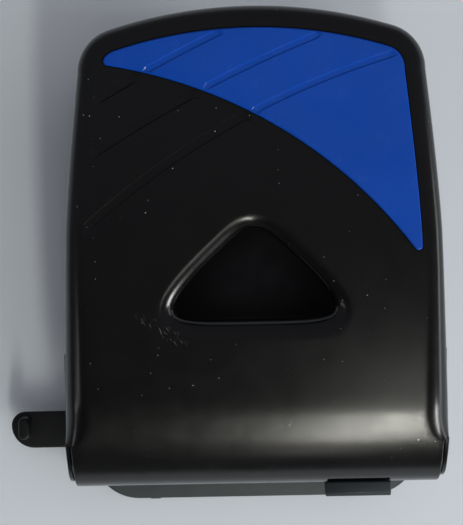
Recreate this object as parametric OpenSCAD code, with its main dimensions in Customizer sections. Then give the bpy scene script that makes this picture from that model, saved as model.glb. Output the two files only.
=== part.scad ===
// Two-hole paper punch with a stamped steel handle, a blue inlay and a sprung pair of punch pins.
// Frame: +X right, +Y towards the free end of the handle, +Z up. The punch pins stand on y = 0
// and the desk is z = 0.

/* [Punching] */
// Distance between the two hole centres
hole_spacing = 80; // [70:1:88]
// Diameter of the punched hole
hole_d = 6; // [5:0.25:6.5]
// Distance from the paper's edge to the hole centres
paper_margin = 12; // [11:0.5:14]
// Clear height of the paper throat
throat_h = 3.5; // [3:0.25:4]

/* [Handle] */
// Width of the handle across its rolled sides
handle_w = 104; // [102:1:112]
// Width of the handle where the rear corners begin
handle_rear_w = 91.5; // [88:0.5:96]
// Length of the flat top from the front curl to the rear edge
handle_top_len = 110; // [106:0.5:114]
// Thickness of the handle's sheet
sheet_t = 1.3; // [1:0.1:1.5]
// Radius of the rolled edge
edge_r = 5; // [4:0.5:6]
// Depth of the side and rear walls
wall_depth = 12.5; // [11:0.5:13.5]
// Slope of the handle's top where it leaves the front curl
top_slope = 9; // [8:0.5:10]
// Outer radius of the front curl
curl_r = 23; // [22.5:0.25:24]
// Radius of the rear corners
rear_corner_r = 12; // [10:1:16]
// How far the rear edge bows out in the middle
rear_bow = 6.5; // [4:0.5:8]
// How far the handle turns down when it is pressed, in degrees
press_angle = 18; // [15:1:18]

/* [Triangular hole] */
// Distance from the pins to the middle of the hole
tri_y = 28.5; // [27:0.5:31]
// Distance from the middle of the hole to its straight front side
tri_front = 9.5; // [8:0.5:10]
// Distance from the middle of the hole to its two slanted sides
tri_side = 13.3; // [12.5:0.1:14.5]
// Distance from the middle of the hole to its blunt left and right ends
tri_wide = 24; // [22:0.5:26]
// Depth of the hole's rolled-in flange
tri_flange = 5.5; // [4.5:0.5:6.5]
// Outer radius of the hole's roll
tri_roll_r = 3; // [2.5:0.25:4]

/* [Inlay] */
// Thickness of the blue inlay
inlay_t = 0.9; // [0.7:0.1:1.2]
// Width of the black rim between the handle's edge and the inlay
inlay_rim = 6; // [4.5:0.5:7]
// Radius of the inlay's long curved edge
inlay_arc_r = 125; // [115:5:140]
// Depth of the pocket in the handle that takes the inlay
inlay_pocket = 0.5; // [0.3:0.05:0.6]
// Depth of the diagonal grooves in the inlay and in the handle
groove_h = 0.3; // [0.2:0.05:0.4]
// Width of the diagonal grooves in the inlay
groove_w = 1.6; // [1:0.1:2.4]
// Width of the diagonal grooves in the handle
groove_wide = 2.4; // [1.6:0.1:3]

/* [Towers] */
// Width of a bracket across its two cheeks
bracket_w = 17; // [16:0.5:17.5]
// Thickness of the bracket's sheet
bracket_t = 1.5; // [1.2:0.1:1.8]
// Height of the upper guide plate above the lower one
guide_rise = 15.5; // [14:0.5:16]
// Height of the cheeks above the lower guide plate
cheek_h = 21.5; // [20:0.5:22]
// Length of the bracket's riveted foot
foot_len = 9; // [8:0.5:12]
// Diameter of the hinge axle
axle_d = 5; // [4:0.25:5.5]
// Distance from the pins forward to the axle
axle_reach = 19; // [18.5:0.25:19.5]
// Height of the axle above the desk
axle_z = 33; // [32.5:0.25:33.5]
// Diameter of the rivets
rivet_d = 3; // [2.5:0.25:3.5]

/* [Springs] */
// Diameter of the spring wire
wire_d = 1; // [0.8:0.05:1.1]
// Mean diameter of the spring's curls
coil_d = 8.8; // [8.6:0.1:9.2]
// Number of curls
coil_turns = 5; // [4:1:6]
// Thickness of the spring's washer
washer_t = 0.8; // [0.6:0.1:1]

/* [Base] */
// Width of the base frame
base_w = 97; // [95:1:99]
// How far the base reaches forward of the pins
base_front = 35; // [34:0.5:36]
// How far the base reaches back from the pins
base_rear = 96; // [92:1:98]
// Height of the base frame's top above the desk
frame_top = 9.5; // [9:0.25:10]
// Wall of the base frame
frame_wall = 2.2; // [1.8:0.1:2.6]
// Radius of the base frame's corners
frame_corner_r = 14; // [12:1:16]
// Thickness of the steel base plate
plate_t = 1.5; // [1.2:0.1:1.8]
// Height of the rubber feet that shows under the frame
foot_stand = 0.8; // [0.6:0.1:1.2]
// Diameter of the rubber feet
foot_d = 9; // [8:0.5:10]
// Thickness of the chip tray's floor and walls
tray_t = 1.4; // [1.2:0.1:1.6]
// Outer diameter of a die ring
die_d = 10; // [9:0.5:10.5]

/* [Paper guide] */
// Width of the guide rail
guide_w = 10.8; // [10:0.2:11]
// Thickness of the guide rail
guide_t = 2; // [1.6:0.1:2.2]
// How far the guide stands out past the handle's side at rest
guide_out = 20.5; // [19.5:0.5:22]
// Length of the guide rail
guide_len = 97; // [90:1:99]

/* [Lock] */
// Width of the lock tab
lock_w = 18.7; // [16:0.1:19.5]
// Distance from the middle to the near edge of the lock tab
lock_x = 19.9; // [19.5:0.1:21]

/* [Fits] */
// Radial clearance of a running fit
fit = 0.03; // [0.02:0.01:0.05]
// Clearance between flat faces that slide
slide_gap = 0.3; // [0.25:0.05:0.4]
// Clearance between the pin heads and the handle at rest
press_gap = 0.5; // [0.45:0.05:0.6]

/* [Hidden] */
$fn = 48;

LEFT = -1;
RIGHT = 1;
cut_past = 1;
DEG = 180 / PI;

// Levels of the base, from the desk up
plate_top = frame_top + plate_t;
lower_guide_z = plate_top + throat_h;
upper_guide_z = lower_guide_z + guide_rise;
cheek_top = lower_guide_z + cheek_h;
axle_y = -axle_reach;
pin_x = hole_spacing / 2;
// The handle and the base are as wide as set at the usual hole spacing, and widen with it
USUAL_SPACING = 80;
pin_spread = (hole_spacing - USUAL_SPACING) / 2;

// Side profile of the handle's outer face: a long shallow arc that runs into the front curl.
// Arc length runs back from the point where the curl begins.
TOP_R = 1260;
LIP_TURN = 108;
nose_wall = 2.5;
nose_r = axle_d / 2 + nose_wall;
curl_y = -4.5;
curl_drop = 6;
curl_z = axle_z - curl_drop;
curl_start = [curl_y - curl_r * sin(top_slope), curl_z + curl_r * cos(top_slope)];
lip_s = -(LIP_TURN - top_slope) / DEG * curl_r;
function slope_at(s) = top_slope - s / (s < 0 ? curl_r : TOP_R) * DEG;
function profile_at(s, h = 0) =
    let (a = slope_at(s), r = s < 0 ? curl_r : TOP_R)
    let (centre = curl_start + r * [sin(top_slope), -cos(top_slope)])
    centre + (r + h) * [-sin(a), cos(a)];
function on_handle(p, h) = let (q = profile_at(p[1], h)) [p[0], q[0], q[1]];
// Arc length of the top at a distance y back from the pins
function top_s(y) = (y - curl_start[0]) / cos(top_slope);

// Outline of the unrolled sheet, from the middle of the front lip round the right side
half_w = handle_w / 2 + pin_spread;
half_rear = handle_rear_w / 2 + pin_spread;
ear_inset = 0.05;
ear_t = sheet_t - 2 * ear_inset;
ear_slot = 0.45;
ear_x = half_w - sheet_t + ear_inset;
curl_half = ear_x - ear_slot;
LIP_CORNER_R = 2.5;
wall_from = -6;
wall_full = 5.5;
wall_step = 2;
side_end = handle_top_len - rear_bow - rear_corner_r;
draw_from = 50;
SIDE_TAPER = 0.041;
DRAW_POWER = 1.35;
function smooth(t) = let (u = min(max(t, 0), 1)) u * u * (3 - 2 * u);
// Half width of the sheet at an arc length: a slight taper, then drawn in towards the rear
side_draw = half_w - half_rear - SIDE_TAPER * side_end;
function side_x(s) =
    s < wall_from ? curl_half
    : s < 0 ? curl_half + (half_w - curl_half) * smooth((s - wall_from) / wall_step)
    : half_w - SIDE_TAPER * s - side_draw * pow(max(s - draw_from, 0) / (side_end - draw_from), DRAW_POWER);
// Share of the full roll and wall that the sheet's edge has at an arc length
function wall_share(s) = smooth((s - wall_from) / (wall_full - wall_from));

SIDE_STEPS = 9;
CURL_STEPS = 6;
LIP_STEPS = 6;
CORNER_STEPS = 7;
REAR_STEPS = 5;
bow_r = (pow(half_rear - rear_corner_r / 2, 2) + pow(rear_bow, 2)) / (2 * rear_bow);
bow_s = handle_top_len - bow_r;
corner_c = [half_rear - rear_corner_r, side_end];
// The rear bow meets the corner arc where both have the same normal
corner_turn = acos(min(1, max(-1, corner_c[0] / (bow_r - rear_corner_r))));
corner_s = bow_s + sqrt(pow(bow_r - rear_corner_r, 2) - pow(corner_c[0], 2));
lip_part = [for (i = [0 : LIP_STEPS]) [(curl_half - LIP_CORNER_R) * i / LIP_STEPS, lip_s]];
lip_corner = [for (a = [-60, -30, 0]) [curl_half - LIP_CORNER_R * (1 - cos(a)),
                                       lip_s + LIP_CORNER_R * (1 + sin(a))]];
curl_part = [for (i = [1 : CURL_STEPS])
    let (s = lip_s + LIP_CORNER_R + (wall_from - lip_s - LIP_CORNER_R) * i / CURL_STEPS) [side_x(s), s]];
rise_places = [wall_from + wall_step / 2, wall_from + wall_step, wall_from / 3, wall_full / 2, wall_full];
rise_part = [for (s = rise_places) [side_x(s), s]];
side_part = [for (i = [1 : SIDE_STEPS])
    let (s = wall_full + (corner_s - wall_full) * i / SIDE_STEPS) [side_x(s), s]];
corner_part = [for (i = [1 : CORNER_STEPS])
    let (a = corner_turn * i / CORNER_STEPS)
    [corner_c[0] + (side_x(corner_s) - corner_c[0]) * cos(a), corner_s + rear_corner_r * sin(a)]];
rear_part = [for (i = [1 : REAR_STEPS])
    let (a = corner_turn + (90 - corner_turn) * i / REAR_STEPS) [bow_r * cos(a), bow_s + bow_r * sin(a)]];
half_outline = concat(lip_part, lip_corner, curl_part, rise_part, side_part, corner_part, rear_part);
half_count = len(half_outline);
outline = concat(half_outline,
    [for (i = [half_count - 2 : -1 : 1]) [-half_outline[i][0], half_outline[i][1]]]);
columns = len(outline);

// Rounded triangle of the hole, as a distance from its middle in a direction
tri_s = top_s(tri_y);
TRI_ROUND = 5;
TRI_TURN = 47.5;
tri_normals = [-90, TRI_TURN, 180 - TRI_TURN, 0, 180];
tri_dists = [tri_front, tri_side, tri_side, tri_wide, tri_wide];
function tri_at(a) =
    let (sides = [for (i = [0 : 4]) pow(max(0, cos(a - tri_normals[i])) / tri_dists[i], TRI_ROUND)])
    pow(sides * [1, 1, 1, 1, 1], -1 / TRI_ROUND);
function tri_point(a) = [0, tri_s] + tri_at(a) * [cos(a), sin(a)];
function unit(v) = v / norm(v);
function right_of(v) = [v[1], -v[0]];
function tri_normal(a) = unit(right_of(tri_point(a + 2) - tri_point(a - 2)));
function edge_normal(k) =
    unit(right_of(outline[(k + 1) % columns] - outline[(k + columns - 1) % columns]));
// Direction from the hole's middle to a point of the outline
function bearing(p) = atan2(p[1] - tri_s, p[0]);

ROLL_STEPS = 3;
SPAN_STEPS = 8;
span_blend = 12;
MIN_ROLL = sheet_t + 0.1;
MIN_WALL = sheet_t + 0.2;
// Share of the way from the hole's roll to the edge's roll at step i. Where the edge lies on the
// curl, the first step is at the curl's start and the rest divide the curl evenly.
function span_share(from, to, i) =
    let (even = i / (SPAN_STEPS + 1), w = min(max(-to[1] / span_blend, 0), 1))
    let (start = from[1] / (from[1] - min(to[1], 0)))
    (1 - w) * even + w * (start + (1 - start) * (i - 1) / SPAN_STEPS);
// One section through the sheet, from the hole's flange out to the edge and back underneath
function section(k) =
    let (p = outline[k], n = edge_normal(k), a = bearing(p), m = tri_normal(a), q = tri_point(a))
    let (share = wall_share(p[1]))
    let (roll = MIN_ROLL + (edge_r - MIN_ROLL) * share, wall = MIN_WALL + (wall_depth - MIN_WALL) * share)
    let (from = q + m * tri_roll_r, to = p - n * roll)
    let (over = concat(
        [[q, -tri_flange]],
        [for (i = [0 : ROLL_STEPS]) let (b = 90 * i / ROLL_STEPS)
            [q + m * tri_roll_r * (1 - cos(b)), -tri_roll_r * (1 - sin(b))]],
        [for (i = [1 : SPAN_STEPS]) [from + (to - from) * span_share(from, to, i), 0]],
        [for (i = [0 : ROLL_STEPS]) let (b = 90 * i / ROLL_STEPS)
            [to + n * roll * sin(b), -roll * (1 - cos(b))]],
        [[p, -wall]]))
    let (under = concat(
        [[p - n * sheet_t, -wall]],
        [for (i = [ROLL_STEPS : -1 : 0]) let (b = 90 * i / ROLL_STEPS)
            [to + n * (roll - sheet_t) * sin(b), -roll + (roll - sheet_t) * cos(b)]],
        [for (i = [SPAN_STEPS : -1 : 1]) [from + (to - from) * span_share(from, to, i), -sheet_t]],
        [for (i = [ROLL_STEPS : -1 : 0]) let (b = 90 * i / ROLL_STEPS)
            [from - m * (tri_roll_r - sheet_t) * cos(b), -tri_roll_r + (tri_roll_r - sheet_t) * sin(b)]],
        [[q + m * sheet_t, -tri_flange]]))
    [for (v = concat(over, under)) on_handle(v[0], v[1])];

// A closed ring of sections joined by triangles
module ring_solid(rings) {
    m = len(rings);
    n = len(rings[0]);
    points = [for (r = rings) each r];
    faces = [for (i = [0 : m - 1]) for (j = [0 : n - 1])
        let (a = i * n + j, b = i * n + (j + 1) % n)
        let (c = (i + 1) % m * n + j, d = (i + 1) % m * n + (j + 1) % n)
        each [[a, c, b], [b, c, d]]];
    polyhedron(points, faces, convexity = 8);
}

// A round tube along a path, closed at both ends
module tube_solid(path, d, sides) {
    last = len(path) - 1;
    rings = [for (i = [0 : last])
        let (t = unit(path[min(i + 1, last)] - path[max(i - 1, 0)]))
        let (out = unit([path[i][0], path[i][1], 0]))
        let (u = unit(out - t * (out * t)), v = cross(t, u))
        [for (j = [0 : sides - 1]) let (a = 360 * j / sides) path[i] + d / 2 * (u * cos(a) + v * sin(a))]];
    points = [for (r = rings) each r];
    top = last * sides;
    faces = concat(
        [for (i = [0 : last - 1]) for (j = [0 : sides - 1])
            let (a = i * sides + j, b = i * sides + (j + 1) % sides)
            each [[a, a + sides, b], [b, a + sides, b + sides]]],
        [for (j = [1 : sides - 2]) [0, j, j + 1]],
        [for (j = [1 : sides - 2]) [top, top + j + 1, top + j]]);
    polyhedron(points, faces, convexity = 8);
}

// An outline drawn in y and z, as thick as w from x
module across(x, w) {
    translate([x, 0, 0]) rotate([90, 0, 90]) linear_extrude(w) children();
}

// Handle

curl_gap = 1.4;
ear_low = axle_z - nose_r;
ear_neck = 4;
ear_tail = 18;
ear_tail_low = 7;
ear_tail_high = 10.5;
ear_step = [2, 6];
// Side plate that closes the curl's end and carries the axle
module ear_outline() {
    intersection() {
        translate([curl_y, curl_z]) circle(r = curl_r - curl_gap, $fn = 96);
        polygon([[curl_y - curl_r, ear_low], [axle_y + nose_r, ear_low], [curl_y, axle_z + ear_neck],
                 [curl_y + ear_tail, axle_z + ear_tail_low], [curl_y + ear_tail, axle_z + ear_tail_high],
                 [curl_y - ear_step[0], axle_z + ear_tail_high], [curl_y - ear_step[1], curl_z + curl_r],
                 [curl_y - curl_r, curl_z + curl_r]]);
    }
}

lock_drop = 10.7;
lock_reach = 14.4;
lock_top = axle_z - lock_drop;
lock_front = axle_y - lock_reach;
notch_gap = 0.4;
notch_rise = 4.3;
notch_len = 11.5;
// Opening in the front curl over the lock's tab
module lip_notch() {
    low = lock_top - curl_drop;
    translate([lock_x - notch_gap, lock_front, low])
        cube([lock_w + 2 * notch_gap, notch_len, axle_z + notch_rise - low]);
}

module handle() {
    color("#17181a")
    difference() {
        union() {
            ring_solid([for (k = [0 : columns - 1]) section(k)]);
            across(ear_x, ear_t) ear_outline();
            across(-ear_x - ear_t, ear_t) ear_outline();
        }
        lip_notch();
        translate([-half_w - cut_past, axle_y, axle_z]) rotate([0, 90, 0])
            cylinder(d = axle_d + 2 * fit, h = 2 * (half_w + cut_past));
        top_layer(-inlay_pocket, inlay_t) offset(delta = inlay_fit) inlay_plan();
        top_layer(-groove_h, inlay_t) handle_groove_plan();
    }
}

// Blue inlay on the handle's top, bounded by the rim and by one long arc

inlay_tip_set = 4;
inlay_left = [inlay_rim - half_rear, 86.1];
inlay_front = [half_w - inlay_rim - inlay_tip_set, 37.1];
inlay_gap = 0.12;
inlay_fit = 0.25;
inlay_round = 1.5;
inlay_chord = inlay_front - inlay_left;
inlay_arc_c = (inlay_left + inlay_front) / 2
    + unit(right_of(inlay_chord)) * sqrt(pow(inlay_arc_r, 2) - pow(norm(inlay_chord) / 2, 2));
BAND_STEPS = 10;
plan_h = 80;
band_margin = 8;
band_from = top_s(inlay_front[1] - band_margin);
band_to = handle_top_len;
// What a plan covers between two heights above the handle's face
module top_layer(low, high) {
    steps = [for (i = [0 : BAND_STEPS]) band_from + (band_to - band_from) * i / BAND_STEPS];
    intersection() {
        linear_extrude(plan_h) children();
        across(-half_w, 2 * half_w)
            polygon(concat([for (s = steps) profile_at(s, low)],
                           [for (i = [BAND_STEPS : -1 : 0]) profile_at(steps[i], high)]));
    }
}

module inlay_plan() {
    inner = [for (k = [0 : columns - 1])
        let (p = outline[k] - edge_normal(k) * inlay_rim) [p[0], profile_at(p[1])[0]]];
    offset(r = inlay_round) offset(delta = -inlay_round)
        difference() {
            polygon(inner);
            translate(inlay_arc_c) circle(r = inlay_arc_r, $fn = 180);
        }
}

// The grooves are arcs through three points each, from the left side up to the rear edge
groove_points = [[[-44.4, 74.7], [-27.7, 84.3], [-2.5, 96.5]], [[-46.1, 60.5], [-14, 79.1], [22, 94.7]],
                 [[-46.9, 41.6], [0.1, 73.6], [38.2, 88.2]]];
function circle_centre(p) =
    let (b = p[1] - p[0], c = p[2] - p[0], d = 2 * cross(b, c))
    p[0] + [c[1] * (b * b) - b[1] * (c * c), b[0] * (c * c) - c[0] * (b * b)] / d;
module groove_plan(w) {
    for (p = groove_points) let (centre = circle_centre(p), r = norm(p[0] - centre))
        translate(centre) difference() {
            circle(r = r + w / 2, $fn = 180);
            circle(r = r - w / 2, $fn = 180);
        }
}

// The handle's grooves end short of the inlay and of the rolled left side
groove_land = 2.2;
module handle_groove_plan() {
    intersection() {
        groove_plan(groove_wide);
        difference() {
            translate([-half_w + edge_r, groove_points[2][0][1] - edge_r])
                square([half_w, handle_top_len / 2]);
            offset(delta = groove_land) inlay_plan();
        }
    }
}

module handle_inlay() {
    low = inlay_gap - inlay_pocket;
    color("#1c4fa8")
    difference() {
        top_layer(low, low + inlay_t) inlay_plan();
        top_layer(low + inlay_t - groove_h, low + 2 * inlay_t) groove_plan(groove_w);
    }
}

// Towers

stop_y = paper_margin;
web_back = stop_y + bracket_t;
guide_front = 9;
rivet_y = web_back + foot_len / 2;
rivet_edge = 5.3;
rivet_x = bracket_w / 2 - rivet_edge;
module cheek_outline() {
    translate([axle_y, axle_z]) circle(r = nose_r);
    polygon([[web_back - 0.5, lower_guide_z], [web_back - 0.5, cheek_top], [-6, cheek_top],
             [axle_y, axle_z + nose_r - 0.4], [axle_y, axle_z - nose_r + 0.4],
             [-guide_front - 3, lower_guide_z]]);
}

module at_pin(side) {
    translate([side * pin_x, 0, 0]) children();
}

// A tower folded from sheet: two cheeks, a rear web that stops the paper, a riveted foot and
// two plates with the pin's bores
module bracket(side) {
    half = bracket_w / 2;
    inset = bracket_t / 2;
    color("#3a3d40") at_pin(side)
    difference() {
        union() {
            across(-half, bracket_t) cheek_outline();
            across(half - bracket_t, bracket_t) cheek_outline();
            translate([-half, stop_y, plate_top]) cube([bracket_w, bracket_t, cheek_top - plate_top]);
            translate([-half, stop_y, plate_top]) cube([bracket_w, bracket_t + foot_len, bracket_t]);
            for (z = [lower_guide_z, upper_guide_z]) translate([-half + inset, -guide_front, z])
                cube([bracket_w - bracket_t, guide_front + stop_y + inset, bracket_t]);
        }
        translate([0, 0, plate_top]) cylinder(d = hole_d + 2 * fit, h = cheek_h + throat_h);
        translate([-half - 1, axle_y, axle_z]) rotate([0, 90, 0])
            cylinder(d = axle_d + 2 * fit, h = bracket_w + 2);
        for (x = [-rivet_x, rivet_x]) translate([x, rivet_y, plate_top - 1])
            cylinder(d = rivet_d + 2 * fit, h = bracket_t + 2);
    }
}

rivet_head_h = 0.9;
module rivet() {
    r = rivet_d / 2;
    head_r = r * 1.8;
    edge = rivet_head_h / 2;
    low = frame_top;
    high = plate_top + bracket_t;
    rotate_extrude()
        polygon([[0, low - rivet_head_h], [head_r - edge, low - rivet_head_h], [head_r, low - edge],
                 [head_r, low], [r, low], [r, high], [head_r, high], [head_r, high + edge],
                 [head_r - edge, high + rivet_head_h], [0, high + rivet_head_h]]);
}

module bracket_rivets() {
    color("#8d9195")
    for (side = [LEFT, RIGHT], x = [-rivet_x, rivet_x])
        translate([side * pin_x + x, rivet_y, 0]) rivet();
}

// Punch pins, springs and what holds them

pin_slope = slope_at(top_s(0));
under_z = profile_at(top_s(0), -sheet_t)[1];
head_top = under_z - press_gap;
// Height of the handle's underside over the axle, and how far it drops at the pin when pressed
under_h = (under_z - axle_z - axle_reach * tan(pin_slope)) * cos(pin_slope);
pressed_slope = pin_slope - press_angle;
pin_stroke = under_z - axle_z - under_h / cos(pressed_slope) - axle_reach * tan(pressed_slope);
head_r = 5.75;
head_t = 2;
dome_h = 1.4;
dome_r = (pow(head_r, 2) + pow(dome_h, 2)) / (2 * dome_h);
head_z = head_top - dome_h - head_t;
tip_gap = 0.5;
tip_z = lower_guide_z + tip_gap;
tip_notch = 1.6;
clip_t = 0.8;
clip_depth = 0.6;
pin_clip_z = upper_guide_z - slide_gap - clip_t;
DOME_STEPS = 6;
module punch_pin(side) {
    r = hole_d / 2;
    dome_turn = asin(head_r / dome_r);
    dome = [for (i = [0 : DOME_STEPS]) let (a = dome_turn * (1 - i / DOME_STEPS))
        [dome_r * sin(a), head_top - dome_r * (1 - cos(a))]];
    color("#b9bcc0") at_pin(side)
    difference() {
        rotate_extrude()
            polygon(concat([[0, tip_z], [r, tip_z], [r, pin_clip_z], [r - clip_depth, pin_clip_z],
                            [r - clip_depth, pin_clip_z + clip_t], [r, pin_clip_z + clip_t],
                            [r, head_z], [head_r, head_z]], dome));
        translate([0, r + 1, tip_z]) rotate([90, 0, 0]) linear_extrude(hole_d + 2)
            polygon([[-r - 1, -1], [-r + 0.6, -1], [-r + 0.6, 0], [0, tip_notch],
                     [r - 0.6, 0], [r - 0.6, -1], [r + 1, -1]]);
    }
}

spring_low = upper_guide_z + bracket_t + washer_t;
spring_high = head_z;
CURL_RINGS = 8;
TUBE_SIDES = 6;
coil_rise = spring_high - spring_low - 2 * wire_d;
coil_points = coil_turns * CURL_RINGS;
spring_path = concat([[coil_d / 2, 0, spring_low]],
    [for (i = [0 : coil_points]) let (a = 360 * i / CURL_RINGS)
        [coil_d / 2 * cos(a), coil_d / 2 * sin(a), spring_low + wire_d + coil_rise * i / coil_points]],
    [[coil_d / 2, 0, spring_high]]);
spring_gap = min([for (i = [0 : coil_points - CURL_RINGS / 2]) for (j = [i + CURL_RINGS / 2 : coil_points])
    norm(spring_path[i + 1] - spring_path[j + 1])]) - wire_d;
echo(least_spring_gap = spring_gap);
module return_spring(side) {
    color("#c9ccd0") at_pin(side) tube_solid(spring_path, wire_d, TUBE_SIDES);
}

loose_gap = 0.4;
module spring_washer(side) {
    color("#a5a9ad") at_pin(side) translate([0, 0, upper_guide_z + bracket_t])
    difference() {
        cylinder(r = coil_d / 2 + wire_d, h = washer_t);
        translate([0, 0, -1]) cylinder(d = hole_d + 2 * loose_gap, h = washer_t + 2);
    }
}

// Open ring that snaps into a groove, with its gap towards +X
module snap_ring(shaft_d, rim) {
    inner = shaft_d / 2 - clip_depth + fit;
    difference() {
        cylinder(r = shaft_d / 2 + rim, h = clip_t - 2 * fit);
        translate([0, 0, -1]) cylinder(r = inner, h = clip_t + 2);
        translate([0, -inner * 0.7, -1]) cube([shaft_d + rim, inner * 1.4, clip_t + 2]);
    }
}

clip_rim = 2;
module spring_clip(side) {
    color("#7d8185") at_pin(side) translate([0, 0, pin_clip_z + fit]) snap_ring(hole_d, clip_rim);
}

axle_clip_x = pin_x + bracket_w / 2 + slide_gap;
axle_end = 0.5;
axle_half = max(half_w - 2 * ear_inset, axle_clip_x + clip_t + axle_end);
module hinge_axle() {
    r = axle_d / 2;
    color("#b4b7bb") rotate([0, 90, 0]) translate([-axle_z, axle_y, 0])
    rotate_extrude()
        polygon([[0, -axle_half], [r - axle_end, -axle_half], [r, -axle_half + axle_end],
                 [r, -axle_clip_x - clip_t], [r - clip_depth, -axle_clip_x - clip_t],
                 [r - clip_depth, -axle_clip_x], [r, -axle_clip_x],
                 [r, axle_clip_x], [r - clip_depth, axle_clip_x],
                 [r - clip_depth, axle_clip_x + clip_t], [r, axle_clip_x + clip_t],
                 [r, axle_half - axle_end], [r - axle_end, axle_half], [0, axle_half]]);
}

module axle_clips() {
    color("#7d8185")
    for (x = [axle_clip_x + fit, -axle_clip_x - clip_t + fit])
        translate([x, axle_y, axle_z]) rotate([0, 90, 0]) snap_ring(axle_d, clip_rim);
}

// Base

base_half = base_w / 2 + pin_spread;
inner_half = base_half - frame_wall;
plate_half = base_half - 1;
plate_front = -26;
plate_rear = base_rear - 4;
roof_front = -21.4;
roof_rear = 78;
roof_low = frame_top - frame_wall;
screw_d = 2.5;
screw_places = [[-20, roof_front - 2.4], [20, roof_front - 2.4], [-25, plate_rear - 5], [25, plate_rear - 5]];
foot_front = 7.1 - base_front;
foot_rear = base_rear - 10.5;
foot_places = [[-38, foot_front], [38, foot_front], [-37, foot_rear], [37, foot_rear]];

// Rectangle with round corners between two y values
module rounded_plan(half, front, rear, r) {
    translate([-half + r, front]) square([2 * (half - r), rear - front]);
    translate([-half, front + r]) square([2 * half, rear - front - 2 * r]);
    for (x = [-half + r, half - r], y = [front + r, rear - r]) translate([x, y]) circle(r = r);
}

module base_plate() {
    color("#202224") translate([0, 0, frame_top]) linear_extrude(plate_t)
    difference() {
        rounded_plan(plate_half, plate_front, plate_rear, 5);
        for (side = [LEFT, RIGHT]) {
            translate([side * pin_x, 0]) circle(d = die_d + 2 * fit);
            for (x = [-rivet_x, rivet_x])
                translate([side * pin_x + x, rivet_y]) circle(d = rivet_d + 2 * fit);
        }
        for (p = screw_places) translate(p) circle(d = screw_d + 2 * fit);
    }
}

// The die reaches as deep as the pressed pins, and a little further
die_land = 0.1;
die_drop = frame_top - tip_z + pin_stroke + die_land;
die_gap = 0.05;
module die(side) {
    color("#94989c") at_pin(side) translate([0, 0, frame_top - die_drop])
    difference() {
        cylinder(d = die_d, h = plate_t + die_drop);
        translate([0, 0, -1]) cylinder(d = hole_d + 2 * die_gap, h = plate_t + die_drop + 2);
    }
}

foot_set = 1;
land_r = foot_d / 2 + 1.5;
tray_gap = 0.4;
tray_half = inner_half - tray_gap;
tray_front = roof_front + 1.4;
tray_rear = roof_rear - 1;
tray_low = foot_stand + 0.2;
tray_rim_top = 5.2;
tray_pin_d = 3;
tray_pin_y = tray_rear - 3;
tray_pin_z = 3.6;
tray_pin_len = 1.3;
nub_x = -30.3;
nub_w = 3;
nub_out = 1.5;
guide_y = -14.2;
channel_t = 1;
channel_low = tray_rim_top + 0.5;
guide_low = channel_low + channel_t + slide_gap - 0.05;
channel_half = guide_w / 2 + slide_gap + channel_t;

module base_frame() {
    height = frame_top - foot_stand;
    inner_r = frame_corner_r - frame_wall;
    color("#4a5052")
    difference() {
        union() {
            difference() {
                translate([0, 0, foot_stand]) linear_extrude(height)
                    rounded_plan(base_half, -base_front, base_rear, frame_corner_r);
                translate([0, 0, foot_stand - 1]) linear_extrude(roof_low - foot_stand + 1)
                    rounded_plan(inner_half, -base_front + frame_wall, base_rear - frame_wall, inner_r);
                translate([-inner_half, roof_front, roof_low - 1])
                    cube([2 * inner_half, roof_rear - roof_front, frame_wall + 2]);
            }
            for (p = foot_places) translate([p[0], p[1], foot_stand])
                cylinder(r = land_r, h = height - frame_wall / 2);
        }
        for (p = foot_places) translate([p[0], p[1], foot_stand - 1])
            cylinder(d = foot_d + 2 * fit, h = foot_set + 1);
        for (p = screw_places) translate([p[0], p[1], roof_low - 1])
            cylinder(d = screw_d + 2 * fit, h = frame_wall + 2);
        for (x = [-inner_half - tray_pin_len - tray_gap, inner_half - 1])
            translate([x, tray_pin_y, tray_pin_z]) rotate([0, 90, 0])
                cylinder(d = tray_pin_d + 2 * fit, h = tray_pin_len + tray_gap + 1);
        translate([-base_half - 1, guide_y - guide_w / 2 - 2 * slide_gap, guide_low - 2 * slide_gap])
            cube([frame_wall + 2, guide_w + 4 * slide_gap, frame_top]);
        translate([nub_x - nub_w / 2 - 2 * tray_gap, -base_front - 1, 0])
            cube([nub_w + 4 * tray_gap, frame_wall + 2, tray_low + tray_t + 2 * tray_gap]);
    }
}

// Shallow tray that swings down at its rear pins, with a thumb nub under the frame's front edge
module chip_tray() {
    color("#43484a")
    union() {
        difference() {
            translate([-tray_half, tray_front, tray_low])
                cube([2 * tray_half, tray_rear - tray_front, tray_rim_top - tray_low]);
            translate([-tray_half + tray_t, tray_front + tray_t, tray_low + tray_t])
                cube([2 * (tray_half - tray_t), tray_rear - tray_front - 2 * tray_t, tray_rim_top]);
        }
        for (x = [-tray_half - tray_pin_len, tray_half - tray_t / 2])
            translate([x, tray_pin_y, tray_pin_z]) rotate([0, 90, 0])
                cylinder(d = tray_pin_d, h = tray_pin_len + tray_t / 2);
        translate([nub_x - nub_w / 2, -base_front - nub_out, tray_low])
            cube([nub_w, base_front + nub_out + tray_front + tray_t / 2, tray_t]);
    }
}

screw_head_h = 1.6;
module frame_screws() {
    r = screw_d / 2;
    high = plate_top - 0.2;
    color("#9a9ea2")
    for (p = screw_places) translate([p[0], p[1], 0])
        rotate_extrude()
            polygon([[0, roof_low - screw_head_h], [2 * r - 0.5, roof_low - screw_head_h],
                     [2 * r, roof_low - screw_head_h + 0.5], [2 * r, roof_low], [r, roof_low],
                     [r, high], [0, high]]);
}

module rubber_feet() {
    color("#1b1b1c")
    for (p = foot_places) translate(p) cylinder(d = foot_d, h = foot_stand + foot_set);
}

// Paper guide

guide_tip = -half_w - guide_out;
guide_large_r = 6.8;
guide_small_r = guide_w - guide_large_r;
stop_w = 3.8;
stop_len = 7.4;
stop_inset = 1.6;
stop_round = 1.5;
stop_rise = 4.5;
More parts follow.
